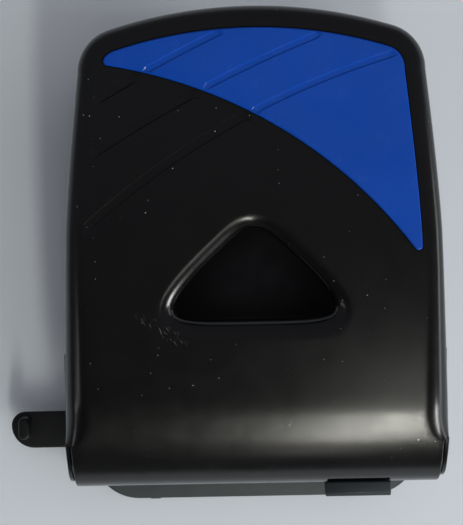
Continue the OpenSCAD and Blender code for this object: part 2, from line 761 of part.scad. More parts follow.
// Strip whose tip is a large quarter circle at the front and a small one at the rear
module guide_plan() {
    front = guide_y - guide_w / 2;
    turn = front + guide_large_r;
    translate([guide_tip + guide_large_r, front]) square([guide_len - guide_large_r, guide_w]);
    translate([guide_tip + guide_small_r, turn]) {
        square([guide_large_r, guide_small_r]);
        circle(r = guide_small_r);
    }
    intersection() {
        translate([guide_tip + guide_large_r, turn]) circle(r = guide_large_r);
        translate([guide_tip, front]) square([2 * guide_large_r, guide_large_r]);
    }
}

module paper_guide() {
    color("#191a1c") {
        translate([0, 0, guide_low]) linear_extrude(guide_t) guide_plan();
        stop_low = guide_low + guide_t / 2;
        translate([0, 0, stop_low]) linear_extrude(plate_top + stop_rise - stop_low)
            translate([guide_tip + stop_inset + stop_w / 2, guide_y + guide_w / 2 - stop_inset / 2])
                rounded_plan(stop_w / 2, -stop_len, 0, stop_round);
    }
}

module guide_channel() {
    low = channel_low;
    color("#8a8e92")
    across(-inner_half + tray_gap, 2 * (inner_half - tray_gap))
    difference() {
        translate([guide_y - channel_half, low]) square([2 * channel_half, frame_top - low]);
        translate([guide_y - channel_half + channel_t, low + channel_t])
            square([2 * (channel_half - channel_t), frame_top]);
    }
}

// Lock: slides along the axle, and its tab goes under the raised front lip to hold the handle down

lock_low = lower_guide_z + 1.7;
lock_arm_t = 3;
lock_web_t = 3;
lock_tab_d = 4.5;
lock_sleeve_wall = 2.2;
lock_sleeve_r = axle_d / 2 + lock_sleeve_wall;
lock_sleeve_end = pin_x - bracket_w / 2 - 1.5;
lock_sleeve_len = 17;
module lock_slider() {
    web_y = axle_y + 1.5;
    color("#1d1f21")
    difference() {
        union() {
            across(lock_sleeve_end - lock_sleeve_len, lock_sleeve_len) {
                translate([axle_y, axle_z]) circle(r = lock_sleeve_r);
                translate([web_y - lock_web_t, lock_low]) square([lock_web_t, axle_z - lock_low]);
            }
            across(lock_x, lock_w)
                polygon([[lock_front, lock_low + 0.6], [lock_front + 0.6, lock_low],
                         [web_y - 0.4, lock_low], [web_y - 0.4, lock_low + lock_arm_t],
                         [lock_front + lock_tab_d, lock_low + lock_arm_t],
                         [lock_front + lock_tab_d, lock_top - 0.4],
                         [lock_front + lock_tab_d - 0.4, lock_top], [lock_front + 1, lock_top],
                         [lock_front, lock_top - 1]]);
        }
        translate([lock_sleeve_end - lock_sleeve_len - 1, axle_y, axle_z]) rotate([0, 90, 0])
            cylinder(d = axle_d + 2 * fit, h = lock_sleeve_len + 2);
    }
}

handle();
handle_inlay();
bracket(LEFT);  // left_bracket
bracket(RIGHT);  // right_bracket
bracket_rivets();
punch_pin(LEFT);  // left_punch_pin
punch_pin(RIGHT);  // right_punch_pin
return_spring(LEFT);  // left_return_spring
return_spring(RIGHT);  // right_return_spring
spring_washer(LEFT);  // left_spring_washer
spring_washer(RIGHT);  // right_spring_washer
spring_clip(LEFT);  // left_spring_clip
spring_clip(RIGHT);  // right_spring_clip
hinge_axle();
axle_clips();
base_plate();
die(LEFT);  // left_die
die(RIGHT);  // right_die
base_frame();
chip_tray();
frame_screws();
rubber_feet();
paper_guide();
guide_channel();
lock_slider();
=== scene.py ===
"""Two-hole punch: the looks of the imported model, built in its own frame, in metres."""
import logging
import math
from dataclasses import dataclass, field
from enum import Enum
from typing import Sequence

import bmesh
import bpy
import numpy as np
from mathutils import Euler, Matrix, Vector
from mathutils.geometry import delaunay_2d_cdt


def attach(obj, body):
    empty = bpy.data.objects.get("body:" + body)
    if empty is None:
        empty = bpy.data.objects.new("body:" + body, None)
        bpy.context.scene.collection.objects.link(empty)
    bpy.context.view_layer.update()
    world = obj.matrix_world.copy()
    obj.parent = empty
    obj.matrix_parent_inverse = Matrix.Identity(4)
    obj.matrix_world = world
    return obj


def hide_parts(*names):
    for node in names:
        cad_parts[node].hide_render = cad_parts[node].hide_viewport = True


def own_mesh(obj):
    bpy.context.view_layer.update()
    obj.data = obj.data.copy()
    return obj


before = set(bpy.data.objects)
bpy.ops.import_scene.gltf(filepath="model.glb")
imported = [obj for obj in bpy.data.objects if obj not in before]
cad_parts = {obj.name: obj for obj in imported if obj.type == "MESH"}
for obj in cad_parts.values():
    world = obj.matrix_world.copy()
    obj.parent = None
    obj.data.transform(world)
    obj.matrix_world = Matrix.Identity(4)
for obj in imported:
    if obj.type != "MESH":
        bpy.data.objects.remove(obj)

LOG = logging.getLogger("punch")
MM = 0.001
# The part of a noise's range that holds nearly all its values
NOISE_SPAN = (0.3, 0.7)
# Points closer than this are one, and edges shorter than this go, in metres
WELD = 2e-6
SLIVER = 1e-7
# The same for a sheet that is filled flat, in mm and square mm
FILL_WELD = 1e-5
FILL_SLIVER = 1e-9
# Arc length in mm up to which the handle's front has a finer grid
FINE_BELOW = 8.0
# Edges that turn more than this are drawn sharp
SHARP_DEG = 35.0
EASED_SHARP_DEG = 32.0


class Body(str, Enum):
    """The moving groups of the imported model."""

    BASE = "base"
    HANDLE = "handle"
    LEFT_PIN = "left_pin"
    RIGHT_PIN = "right_pin"
    TRAY = "tray"
    GUIDE = "guide"
    LOCK = "lock"


class Side(Enum):
    """The two sides of the punch, as the sign of x."""

    LEFT = -1
    RIGHT = 1


# Finishes


class FinishTree:
    """A material's node tree while a finish builds it."""

    def __init__(self, name: str) -> None:
        """Start a material with one Principled shader.

        Args:
            name: the material's name.
        """
        self.material = bpy.data.materials.new(name)
        self.material.use_nodes = True
        self.tree = self.material.node_tree
        self.shader = self.tree.nodes["Principled BSDF"]
        self.place = self.tree.nodes.new("ShaderNodeTexCoord").outputs["Object"]

    def node(self, kind: str, **settings: object) -> bpy.types.Node:
        """Add a node.

        Args:
            kind: the node's type name.
            settings: attributes of the node.

        Returns:
            The new node.
        """
        made = self.tree.nodes.new(kind)
        for key, value in settings.items():
            setattr(made, key, value)
        return made

    def feed(self, source: bpy.types.NodeSocket, target: bpy.types.NodeSocket) -> None:
        """Link two sockets."""
        self.tree.links.new(source, target)

    def stretched(self, sizes_mm: Sequence[float], turn: float = 0.0, at_mm: Sequence[float] = (0.0, 0.0, 0.0)
                  ) -> bpy.types.NodeSocket:
        """Coordinates that count in given sizes along axes of their own.

        Args:
            sizes_mm: length of one unit along each axis.
            turn: angle of the axes about z, in radians.
            at_mm: where the axes start.

        Returns:
            The vector socket.
        """
        mapping = self.node("ShaderNodeMapping", vector_type="TEXTURE")
        mapping.inputs["Location"].default_value = tuple(v * MM for v in at_mm)
        mapping.inputs["Rotation"].default_value = (0.0, 0.0, turn)
        mapping.inputs["Scale"].default_value = tuple(v * MM for v in sizes_mm)
        self.feed(self.place, mapping.inputs["Vector"])
        return mapping.outputs["Vector"]

    def noise(self, size_mm: float, detail: float = 2.0, vector: bpy.types.NodeSocket | None = None
              ) -> bpy.types.NodeSocket:
        """A noise whose blotches are about size_mm across.

        Args:
            size_mm: size of the blotches, or 1 with a vector that is scaled already.
            detail: number of octaves.
            vector: coordinates, or None for the object's own.

        Returns:
            The noise's value socket.
        """
        made = self.node("ShaderNodeTexNoise")
        made.inputs["Scale"].default_value = 1.0 / (size_mm * MM) if vector is None else 1.0
        made.inputs["Detail"].default_value = detail
        self.feed(vector or self.place, made.inputs["Vector"])
        return made.outputs["Fac"]

    def range(self, value: bpy.types.NodeSocket, low: float, high: float, to_low: float, to_high: float
              ) -> bpy.types.NodeSocket:
        """Map a value's range to another and clamp it.

        Args:
            value: the socket to map.
            low: start of the range that is read.
            high: end of the range that is read.
            to_low: result at low.
            to_high: result at high.

        Returns:
            The mapped socket.
        """
        made = self.node("ShaderNodeMapRange")
        for name, number in zip(("From Min", "From Max", "To Min", "To Max"), (low, high, to_low, to_high)):
            made.inputs[name].default_value = number
        self.feed(value, made.inputs["Value"])
        return made.outputs["Result"]

    def math(self, kind: str, first: bpy.types.NodeSocket, second: bpy.types.NodeSocket | float
             ) -> bpy.types.NodeSocket:
        """One arithmetic step.

        Args:
            kind: operation of the Math node.
            first: first operand.
            second: second operand, a socket or a number.

        Returns:
            The result's socket.
        """
        made = self.node("ShaderNodeMath", operation=kind)
        self.feed(first, made.inputs[0])
        if isinstance(second, (int, float)):
            made.inputs[1].default_value = second
        else:
            self.feed(second, made.inputs[1])
        return made.outputs[0]

    def blend(self, share: bpy.types.NodeSocket, low: object, high: object) -> bpy.types.NodeSocket:
        """Mix two colours, each a socket or three numbers.

        Args:
            share: the mix's factor.
            low: colour at 0.
            high: colour at 1.

        Returns:
            The mixed colour's socket.
        """
        made = self.node("ShaderNodeMix", data_type="RGBA")
        self.feed(share, made.inputs["Factor"])
        colour_inputs = [socket for socket in made.inputs if socket.type == "RGBA"]
        for socket, colour in zip(colour_inputs, (low, high)):
            if isinstance(colour, bpy.types.NodeSocket):
                self.feed(colour, socket)
            else:
                socket.default_value = (*colour, 1.0)
        return next(socket for socket in made.outputs if socket.type == "RGBA")

    def bump(self, height: bpy.types.NodeSocket, depth_mm: float) -> None:
        """Let a height drive the shader's normal.

        Args:
            height: values from 0 to 1.
            depth_mm: relief between 0 and 1.
        """
        made = self.node("ShaderNodeBump")
        made.inputs["Distance"].default_value = depth_mm * MM
        self.feed(height, made.inputs["Height"])
        self.feed(made.outputs["Normal"], self.shader.inputs["Normal"])


def tinted(colour: Sequence[float], factor: float) -> tuple[float, float, float]:
    """A colour times a factor, at most 1."""
    return tuple(min(1.0, part * factor) for part in colour)


@dataclass(frozen=True)
class Finish:
    """A surface finish with mottled colour, uneven gloss and a fine grain."""

    name: str
    colour: tuple[float, float, float]
    roughness: float
    metallic: float = 0.0
    gloss: float = 0.5
    mottle: float = 0.12
    mottle_mm: float = 14.0
    grain_mm: float = 0.35
    grain_depth_mm: float = 0.012
    uneven: float = 0.06
    uneven_share: float = 0.4

    def base(self, tree: FinishTree) -> bpy.types.NodeSocket:
        """The mottled base colour.

        Args:
            tree: the material under construction.

        Returns:
            The colour's socket.
        """
        blotch = tree.range(tree.noise(self.mottle_mm, 3.0), *NOISE_SPAN, 0.0, 1.0)
        return tree.blend(blotch, tinted(self.colour, 1 - self.mottle), tinted(self.colour, 1 + self.mottle))

    def height(self, tree: FinishTree) -> bpy.types.NodeSocket:
        """The grain's height field."""
        return tree.noise(self.grain_mm, 2.0)

    def shine(self, tree: FinishTree) -> bpy.types.NodeSocket:
        """Roughness that varies a little over the surface."""
        low, high = self.roughness - self.uneven, self.roughness + self.uneven
        return tree.range(tree.noise(self.mottle_mm * self.uneven_share, 4.0), *NOISE_SPAN, low, high)

    def material(self) -> bpy.types.Material:
        """Build the material, or return it if it is built already.

        Returns:
            The material.
        """
        known = bpy.data.materials.get(self.name)
        if known is not None:
            return known
        tree = FinishTree(self.name)
        tree.feed(self.base(tree), tree.shader.inputs["Base Color"])
        tree.feed(self.shine(tree), tree.shader.inputs["Roughness"])
        tree.shader.inputs["Metallic"].default_value = self.metallic
        tree.shader.inputs["Specular IOR Level"].default_value = self.gloss
        tree.bump(self.height(tree), self.grain_depth_mm)
        return tree.material


@dataclass(frozen=True)
class WornPaint(Finish):
    """Satin paint with specks of dust and one patch of fine scratches."""

    dust_colour: tuple[float, float, float] = (0.34, 0.35, 0.35)
    dust_mm: float = 2.3
    dust_share: float = 0.06
    dust_pick: float = 0.62
    scratch_at_mm: tuple[float, float, float] = (-25.0, 16.9, 53.0)
    scratch_patch_mm: tuple[float, float, float] = (9.0, 2.6, 40.0)
    scratch_patch_turn: float = math.radians(-32)
    scratch_patch_fade: tuple[float, float] = (0.35, 1.0)
    scratch_mm: tuple[float, float, float] = (1.8, 0.24, 3.0)
    scratch_turn: float = math.radians(-62)
    scratch_span: tuple[float, float] = (0.62, 0.70)
    scratch_colour: tuple[float, float, float] = (0.10, 0.105, 0.11)

    def dust(self, tree: FinishTree) -> bpy.types.NodeSocket:
        """Mask of the dust: small round specks in some cells of a Voronoi pattern.

        Args:
            tree: the material under construction.

        Returns:
            The mask's socket.
        """
        cells = tree.node("ShaderNodeTexVoronoi")
        cells.inputs["Scale"].default_value = 1.0 / (self.dust_mm * MM)
        tree.feed(tree.place, cells.inputs["Vector"])
        speck = tree.math("LESS_THAN", cells.outputs["Distance"], self.dust_share)
        pick = tree.node("ShaderNodeSeparateColor")
        tree.feed(cells.outputs["Color"], pick.inputs["Color"])
        chosen = tree.math("GREATER_THAN", pick.outputs["Red"], self.dust_pick)
        return tree.math("MULTIPLY", tree.math("MULTIPLY", speck, chosen), pick.outputs["Green"])

    def scratches(self, tree: FinishTree) -> bpy.types.NodeSocket:
        """Mask of the scratches: a drawn-out noise inside a soft oval patch.

        Args:
            tree: the material under construction.

        Returns:
            The mask's socket.
        """
        length = tree.node("ShaderNodeVectorMath", operation="LENGTH")
        oval = tree.stretched(self.scratch_patch_mm, self.scratch_patch_turn, self.scratch_at_mm)
        tree.feed(oval, length.inputs[0])
        patch = tree.range(length.outputs["Value"], *self.scratch_patch_fade, 1.0, 0.0)
        lines = tree.noise(1.0, 2.0, tree.stretched(self.scratch_mm, self.scratch_turn))
        fine = tree.range(lines, *self.scratch_span, 0.0, 1.0)
        return tree.math("MULTIPLY", fine, patch)

    def base(self, tree: FinishTree) -> bpy.types.NodeSocket:
        """The mottled paint under its scratches and dust."""
        scratched = tree.blend(self.scratches(tree), super().base(tree), self.scratch_colour)
        return tree.blend(self.dust(tree), scratched, self.dust_colour)


@dataclass(frozen=True)
class DrawnMetal(Finish):
    """Bare metal with fine lines along one axis."""

    line_mm: tuple[float, float, float] = (3.3, 3.3, 0.11)

    def height(self, tree: FinishTree) -> bpy.types.NodeSocket:
        """Lines left by drawing or grinding."""
        return tree.noise(1.0, 3.0, tree.stretched(self.line_mm))


BLACK_PAINT = WornPaint("satin_black_paint", (0.0020, 0.0020, 0.0022), 0.215, gloss=0.40, mottle=0.15,
                        grain_mm=0.5, grain_depth_mm=0.006, uneven=0.02)
# Black paint of the base plate, made darker still as painted shade: seen through the handle's hole, the plate
# stands in for the shade inside the handle.
PLATE_PAINT_AND_SHADE = Finish("black_paint_and_painted_shade", (0.0045, 0.0046, 0.0050), 0.4, mottle=0.2, grain_mm=0.5)
BLUE_PLASTIC = Finish("blue_moulded_plastic", (0.0012, 0.045, 0.310), 0.24, gloss=0.22, mottle=0.05,
                      mottle_mm=18.0, grain_mm=0.3, grain_depth_mm=0.008)
SLATE_PLASTIC = Finish("slate_moulded_plastic", (0.036, 0.043, 0.045), 0.48, gloss=0.35, grain_mm=0.4,
                       grain_depth_mm=0.014)
TRAY_PLASTIC = Finish("slate_tray_plastic", (0.055, 0.064, 0.066), 0.5, gloss=0.4, grain_mm=0.4,
                      grain_depth_mm=0.014)
BLACK_PLASTIC = Finish("black_moulded_plastic", (0.0030, 0.0033, 0.0038), 0.42, gloss=0.28, mottle=0.15,
                       grain_mm=0.35, grain_depth_mm=0.012)
ZINC_SHEET = Finish("zinc_plated_sheet", (0.42, 0.43, 0.44), 0.36, metallic=1.0, mottle=0.18, mottle_mm=5.0,
                    grain_mm=0.8, grain_depth_mm=0.006, uneven=0.08)
ZINC_RIVET = Finish("zinc_plated_rivet", (0.52, 0.53, 0.54), 0.3, metallic=1.0, mottle=0.12, mottle_mm=2.0)
GROUND_STEEL = DrawnMetal("ground_tool_steel", (0.52, 0.53, 0.55), 0.24, metallic=1.0, mottle=0.06,
                          grain_depth_mm=0.004)
SPRING_STEEL = DrawnMetal("drawn_spring_steel", (0.36, 0.37, 0.39), 0.3, metallic=1.0, mottle=0.1,
                          grain_depth_mm=0.004, line_mm=(0.4, 0.4, 0.4))
LOCK_PLASTIC = Finish("dark_slate_plastic", (0.010, 0.015, 0.018), 0.45, gloss=0.4, grain_mm=0.4,
                      grain_depth_mm=0.012)
RUBBER = Finish("black_rubber", (0.012, 0.012, 0.012), 0.78, gloss=0.25, mottle=0.2, grain_mm=0.6,
                grain_depth_mm=0.03)


# Plane geometry of outlines


def unit_rows(vectors: np.ndarray) -> np.ndarray:
    """Each row of an array at length 1."""
    return vectors / np.linalg.norm(vectors, axis=1, keepdims=True)


def loop_normals(loop: np.ndarray) -> np.ndarray:
    """Outward normals of a closed loop that runs counter-clockwise.

    Args:
        loop: points, one a row.

    Returns:
        One unit normal for each point.
    """
    tangent = unit_rows(np.roll(loop, -1, axis=0) - np.roll(loop, 1, axis=0))
    return np.column_stack([tangent[:, 1], -tangent[:, 0]])


def on_circle(turns: np.ndarray) -> np.ndarray:
    """Points at given angles on a circle of radius 1."""
    return np.column_stack([np.cos(turns), np.sin(turns)])


def corner(centre: Sequence[float], radius: float, start_deg: float, end_deg: float, steps: int = 14
           ) -> np.ndarray:
    """Points on an arc about a centre."""
    return np.array(centre) + radius * on_circle(np.radians(np.linspace(start_deg, end_deg, steps)))


def quarter(steps: int) -> list[float]:
    """Angles from 0 to a quarter turn."""
    return [math.pi / 2 * i / steps for i in range(steps + 1)]


def smooth_step(share: np.ndarray) -> np.ndarray:
    """A share from 0 to 1 that starts and ends gently."""
    return share * share * (3 - 2 * share)


def beside(line: np.ndarray, offset: float) -> np.ndarray:
    """An open line shifted to its right."""
    tangent = unit_rows(np.gradient(line, axis=0))
    return line + offset * np.column_stack([tangent[:, 1], -tangent[:, 0]])


def inside(points: np.ndarray, loop: np.ndarray) -> np.ndarray:
    """Which points lie inside a closed loop.

    Args:
        points: points to test, one a row.
        loop: the loop's points.

    Returns:
        One truth value for each point.
    """
    x, y = points[:, :1], points[:, 1:]
    a, b = loop, np.roll(loop, -1, axis=0)
    across = (a[:, 1] > y) != (b[:, 1] > y)
    rise = np.where(a[:, 1] == b[:, 1], 1.0, b[:, 1] - a[:, 1])
    hit = a[:, 0] + (y - a[:, 1]) * (b[:, 0] - a[:, 0]) / rise
    return (across & (x < hit)).sum(axis=1) % 2 == 1


def distance(points: np.ndarray, path: np.ndarray, closed: bool) -> np.ndarray:
    """Shortest distance from points to a path.

    Args:
        points: points to test, one a row.
        path: the path's points.
        closed: whether the last point joins the first.

    Returns:
        One distance for each point.
    """
    a = path if closed else path[:-1]
    b = np.roll(path, -1, axis=0) if closed else path[1:]
    run = b - a
    offset = points[:, None, :] - a[None]
    along = np.clip((offset * run).sum(-1) / np.maximum((run * run).sum(-1), 1e-12), 0, 1)
    return np.linalg.norm(offset - along[..., None] * run, axis=-1).min(axis=1)


def arc_through(first: Sequence[float], middle: Sequence[float], last: Sequence[float], count: int,
                grow: float) -> np.ndarray:
    """Points on the circle through three points, from a little before the first to a little past the last.

    Args:
        first: start of the arc.
        middle: a point on the arc.
        last: end of the arc.
        count: number of points.
        grow: share of the arc that is added at each end.

    Returns:
        The points, one a row.
    """
    a, b, c = (np.array(p, float) for p in (first, middle, last))
    rows = np.array([b - a, c - a])
    centre = a + np.linalg.solve(2 * rows, (rows * rows).sum(axis=1))
    start, mid, end = (math.atan2(*(p - centre)[::-1]) for p in (a, b, c))
    span = (end - start) % math.tau
    if (mid - start) % math.tau > span:
        span -= math.tau
    turns = start + span * np.linspace(-grow, 1 + grow, count)
    return centre + np.linalg.norm(a - centre) * on_circle(turns)


def rounded_tip(loop: np.ndarray, index: int, radius: float, steps: int = 8, near: float = 3.0) -> np.ndarray:
    """A closed loop with one sharp tip rounded.

    Args:
        loop: points of the loop.
        index: the tip's place in the loop.
        radius: radius of the rounding.
        steps: number of points on the rounding.
        near: distance from the tip at which its sides' directions are read.

    Returns:
        The new loop, which starts after the tip.
    """
    turned = np.roll(loop, -index, axis=0)
    tip, rest = turned[0], turned[1:]
    reach = np.linalg.norm(rest - tip, axis=1)
    ahead = unit_rows((rest[np.argmax(reach > near)] - tip)[None])[0]
    back = unit_rows((rest[len(rest) - 1 - np.argmax(reach[::-1] > near)] - tip)[None])[0]
    half = math.acos(float(np.clip(ahead @ back, -1, 1))) / 2
    cut = radius / math.tan(half)
    bisector = unit_rows((ahead + back)[None])[0]
    centre = tip + bisector * radius / math.sin(half)
    half_count = len(rest) // 2
    keep = [p for i, p in enumerate(rest)
            if (p - tip) @ (ahead if i < half_count else back) > cut or reach[i] > 2 * cut]
    start, end = (math.atan2(*(tip + d * cut - centre)[::-1]) for d in (back, ahead))
    span = (end - start + math.pi) % math.tau - math.pi
    turns = start + span * np.linspace(0, 1, steps)
    return np.vstack([keep, centre + radius * on_circle(turns)])


@dataclass(frozen=True)
class Groove:
    """A shallow pressed channel along an arc, given by three points in plan, in millimetres."""

    first: tuple[float, float]
    middle: tuple[float, float]
    last: tuple[float, float]
    count: int = 70
    grow: float = 0.06

    def line(self) -> np.ndarray:
        """Centre line of the channel in plan."""
        return arc_through(self.first, self.middle, self.last, self.count, self.grow)


@dataclass(frozen=True)
class ChannelForm:
    """Cross-section of a pressed channel, in millimetres."""

    width: float
    flank: float
    depth: float

    def edges(self) -> tuple[float, ...]:
        """Offsets from the centre line at which the section bends."""
        half = self.width / 2
        return (-half, self.flank - half, half - self.flank, half)

    def clear(self, points: np.ndarray, lines: Sequence[np.ndarray], margin: float) -> np.ndarray:
        """Those points that keep a margin from every channel.

        Args:
            points: places on the unrolled sheet.
            lines: the channels' centre lines there.
            margin: least distance from a channel's edge.

        Returns:
            The points that are left, one a row.
        """
        for line in lines:
            points = points[distance(points, line, closed=False) > self.width / 2 + margin]
        return points

    def relief(self, points: np.ndarray, line: np.ndarray, fade: float) -> np.ndarray:
        """Depth below the face at points near the channel.

        Args:
            points: places on the unrolled sheet.
            line: the channel's centre line there.
            fade: length over which the channel runs out at its ends.

        Returns:
            One depth for each point, at least 0.
        """
        away = distance(points, line, closed=False)
        wall = np.clip((self.width / 2 - away) / self.flank, 0, 1)
        ends = np.minimum(np.linalg.norm(points - line[0], axis=1), np.linalg.norm(points - line[-1], axis=1))
        return self.depth * wall * np.clip(ends / fade, 0, 1)


GROOVES = (
    Groove((-44.4, 74.7), (-27.7, 84.3), (-2.5, 96.5)),
    Groove((-46.1, 60.5), (-14.0, 79.1), (22.0, 94.7)),
    Groove((-46.9, 41.6), (0.1, 73.6), (38.2, 88.2)),
)


# Meshes


def linked(name: str, data: bpy.types.ID) -> bpy.types.Object:
    """A new object of the scene.

    Args:
        name: name of the object.
        data: its mesh, light or camera.

    Returns:
        The object.
    """
    made = bpy.data.objects.new(name, data)
    bpy.context.scene.collection.objects.link(made)
    return made


def applied(holder: bpy.types.Object) -> bpy.types.Mesh:
    """The mesh that an object's modifiers make. The object goes.

    Args:
        holder: the object, which is removed.

    Returns:
        The new mesh.
    """
    mesh = bpy.data.meshes.new_from_object(holder.evaluated_get(bpy.context.evaluated_depsgraph_get()))
    holder.modifiers.clear()
    bpy.data.objects.remove(holder)
    return mesh


def mesh_object(name: str, points: np.ndarray, faces: Sequence[Sequence[int]], sharp_deg: float = SHARP_DEG
                ) -> bpy.types.Object:
    """A smooth-shaded object from points in millimetres.

    Args:
        name: name of the object.
        points: points, one a row.
        faces: index lists.
        sharp_deg: angle past which an edge stays sharp.

    Returns:
        The object, at the origin.
    """
    mesh = bpy.data.meshes.new(name)
    mesh.from_pydata((np.asarray(points) * MM).tolist(), [], [list(map(int, f)) for f in faces])
    cleaned = bmesh.new()
    cleaned.from_mesh(mesh)
    bmesh.ops.remove_doubles(cleaned, verts=cleaned.verts, dist=WELD)
    bmesh.ops.dissolve_degenerate(cleaned, edges=cleaned.edges, dist=SLIVER)
    cleaned.to_mesh(mesh)
    cleaned.free()
    return finished(name, mesh, sharp_deg)


def finished(name: str, mesh: bpy.types.Mesh, sharp_deg: float) -> bpy.types.Object:
    """Link a mesh as a smooth-shaded object at the origin.

    Args:
        name: name of the object.
        mesh: its mesh.
        sharp_deg: angle past which an edge stays sharp.

    Returns:
        The object.
    """
    mesh.shade_smooth()
    mesh.set_sharp_from_angle(angle=math.radians(sharp_deg))
    return linked(name, mesh)


def ring_faces(rings: int, count: int, start: int) -> list[tuple[int, ...]]:
    """Quads between closed rings of points that follow each other.

    Args:
        rings: number of rings.
        count: points in a ring.
        start: index of the first point.

    Returns:
        The quads.
    """
    return [(start + i * count + j, start + i * count + (j + 1) % count,
             start + (i + 1) * count + (j + 1) % count, start + (i + 1) * count + j)
            for i in range(rings - 1) for j in range(count)]


def filled(loops: Sequence[np.ndarray], lines: Sequence[np.ndarray] = (),
           spots: Sequence[Sequence[float]] = (), hole: np.ndarray | None = None
           ) -> tuple[np.ndarray, np.ndarray]:
    """Triangles that fill a plane region and keep given lines as edges.

    Args:
        loops: closed loops, of which the first bounds the region.
        lines: open lines inside it.
        spots: more points inside it.
        hole: loop that stays empty, or None.

    Returns:
        The points and the triangles, which face up.
    """
    points: list[tuple[float, float]] = []
    edges: list[tuple[int, int]] = []
    for path, closed in [(p, True) for p in loops] + [(p, False) for p in lines]:
        first = len(points)
        points.extend(map(tuple, path))
        edges.extend((first + i, first + i + 1) for i in range(len(path) - 1))
        if closed:
            edges.append((first + len(path) - 1, first))
    points.extend(map(tuple, spots))
    made = delaunay_2d_cdt([Vector(p) for p in points], edges, [], 0, FILL_WELD)
    flat = np.array([tuple(p) for p in made[0]])
    faces = np.array(made[2])
    middle = flat[faces].mean(axis=1)
    keep = inside(middle, loops[0])
    if hole is not None:
        keep &= ~inside(middle, hole)
    faces = faces[keep]
    tips = flat[faces]
    area = np.cross(tips[:, 1] - tips[:, 0], tips[:, 2] - tips[:, 0])
    faces[area < 0] = faces[area < 0][:, ::-1]
    return flat, faces[np.abs(area) > FILL_SLIVER]


def dressed(made: bpy.types.Object, finish: Finish, body: Body, slot: str, *nodes: str) -> bpy.types.Object:
    """Give a piece its finish, its body and the nodes that it stands for.

    Args:
        made: the piece.
        finish: its finish.
        body: the body that it moves with.
        slot: not used.
        nodes: nodes that it replaces.

    Returns:
        The piece.
    """
    made.data.materials.clear()
    made.data.materials.append(finish.material())
    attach(made, body.value)
    if nodes:
        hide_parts(*nodes)
    LOG.info("%s: %d faces on %s", made.name, len(made.data.polygons), body.value)
    return made


# Handle


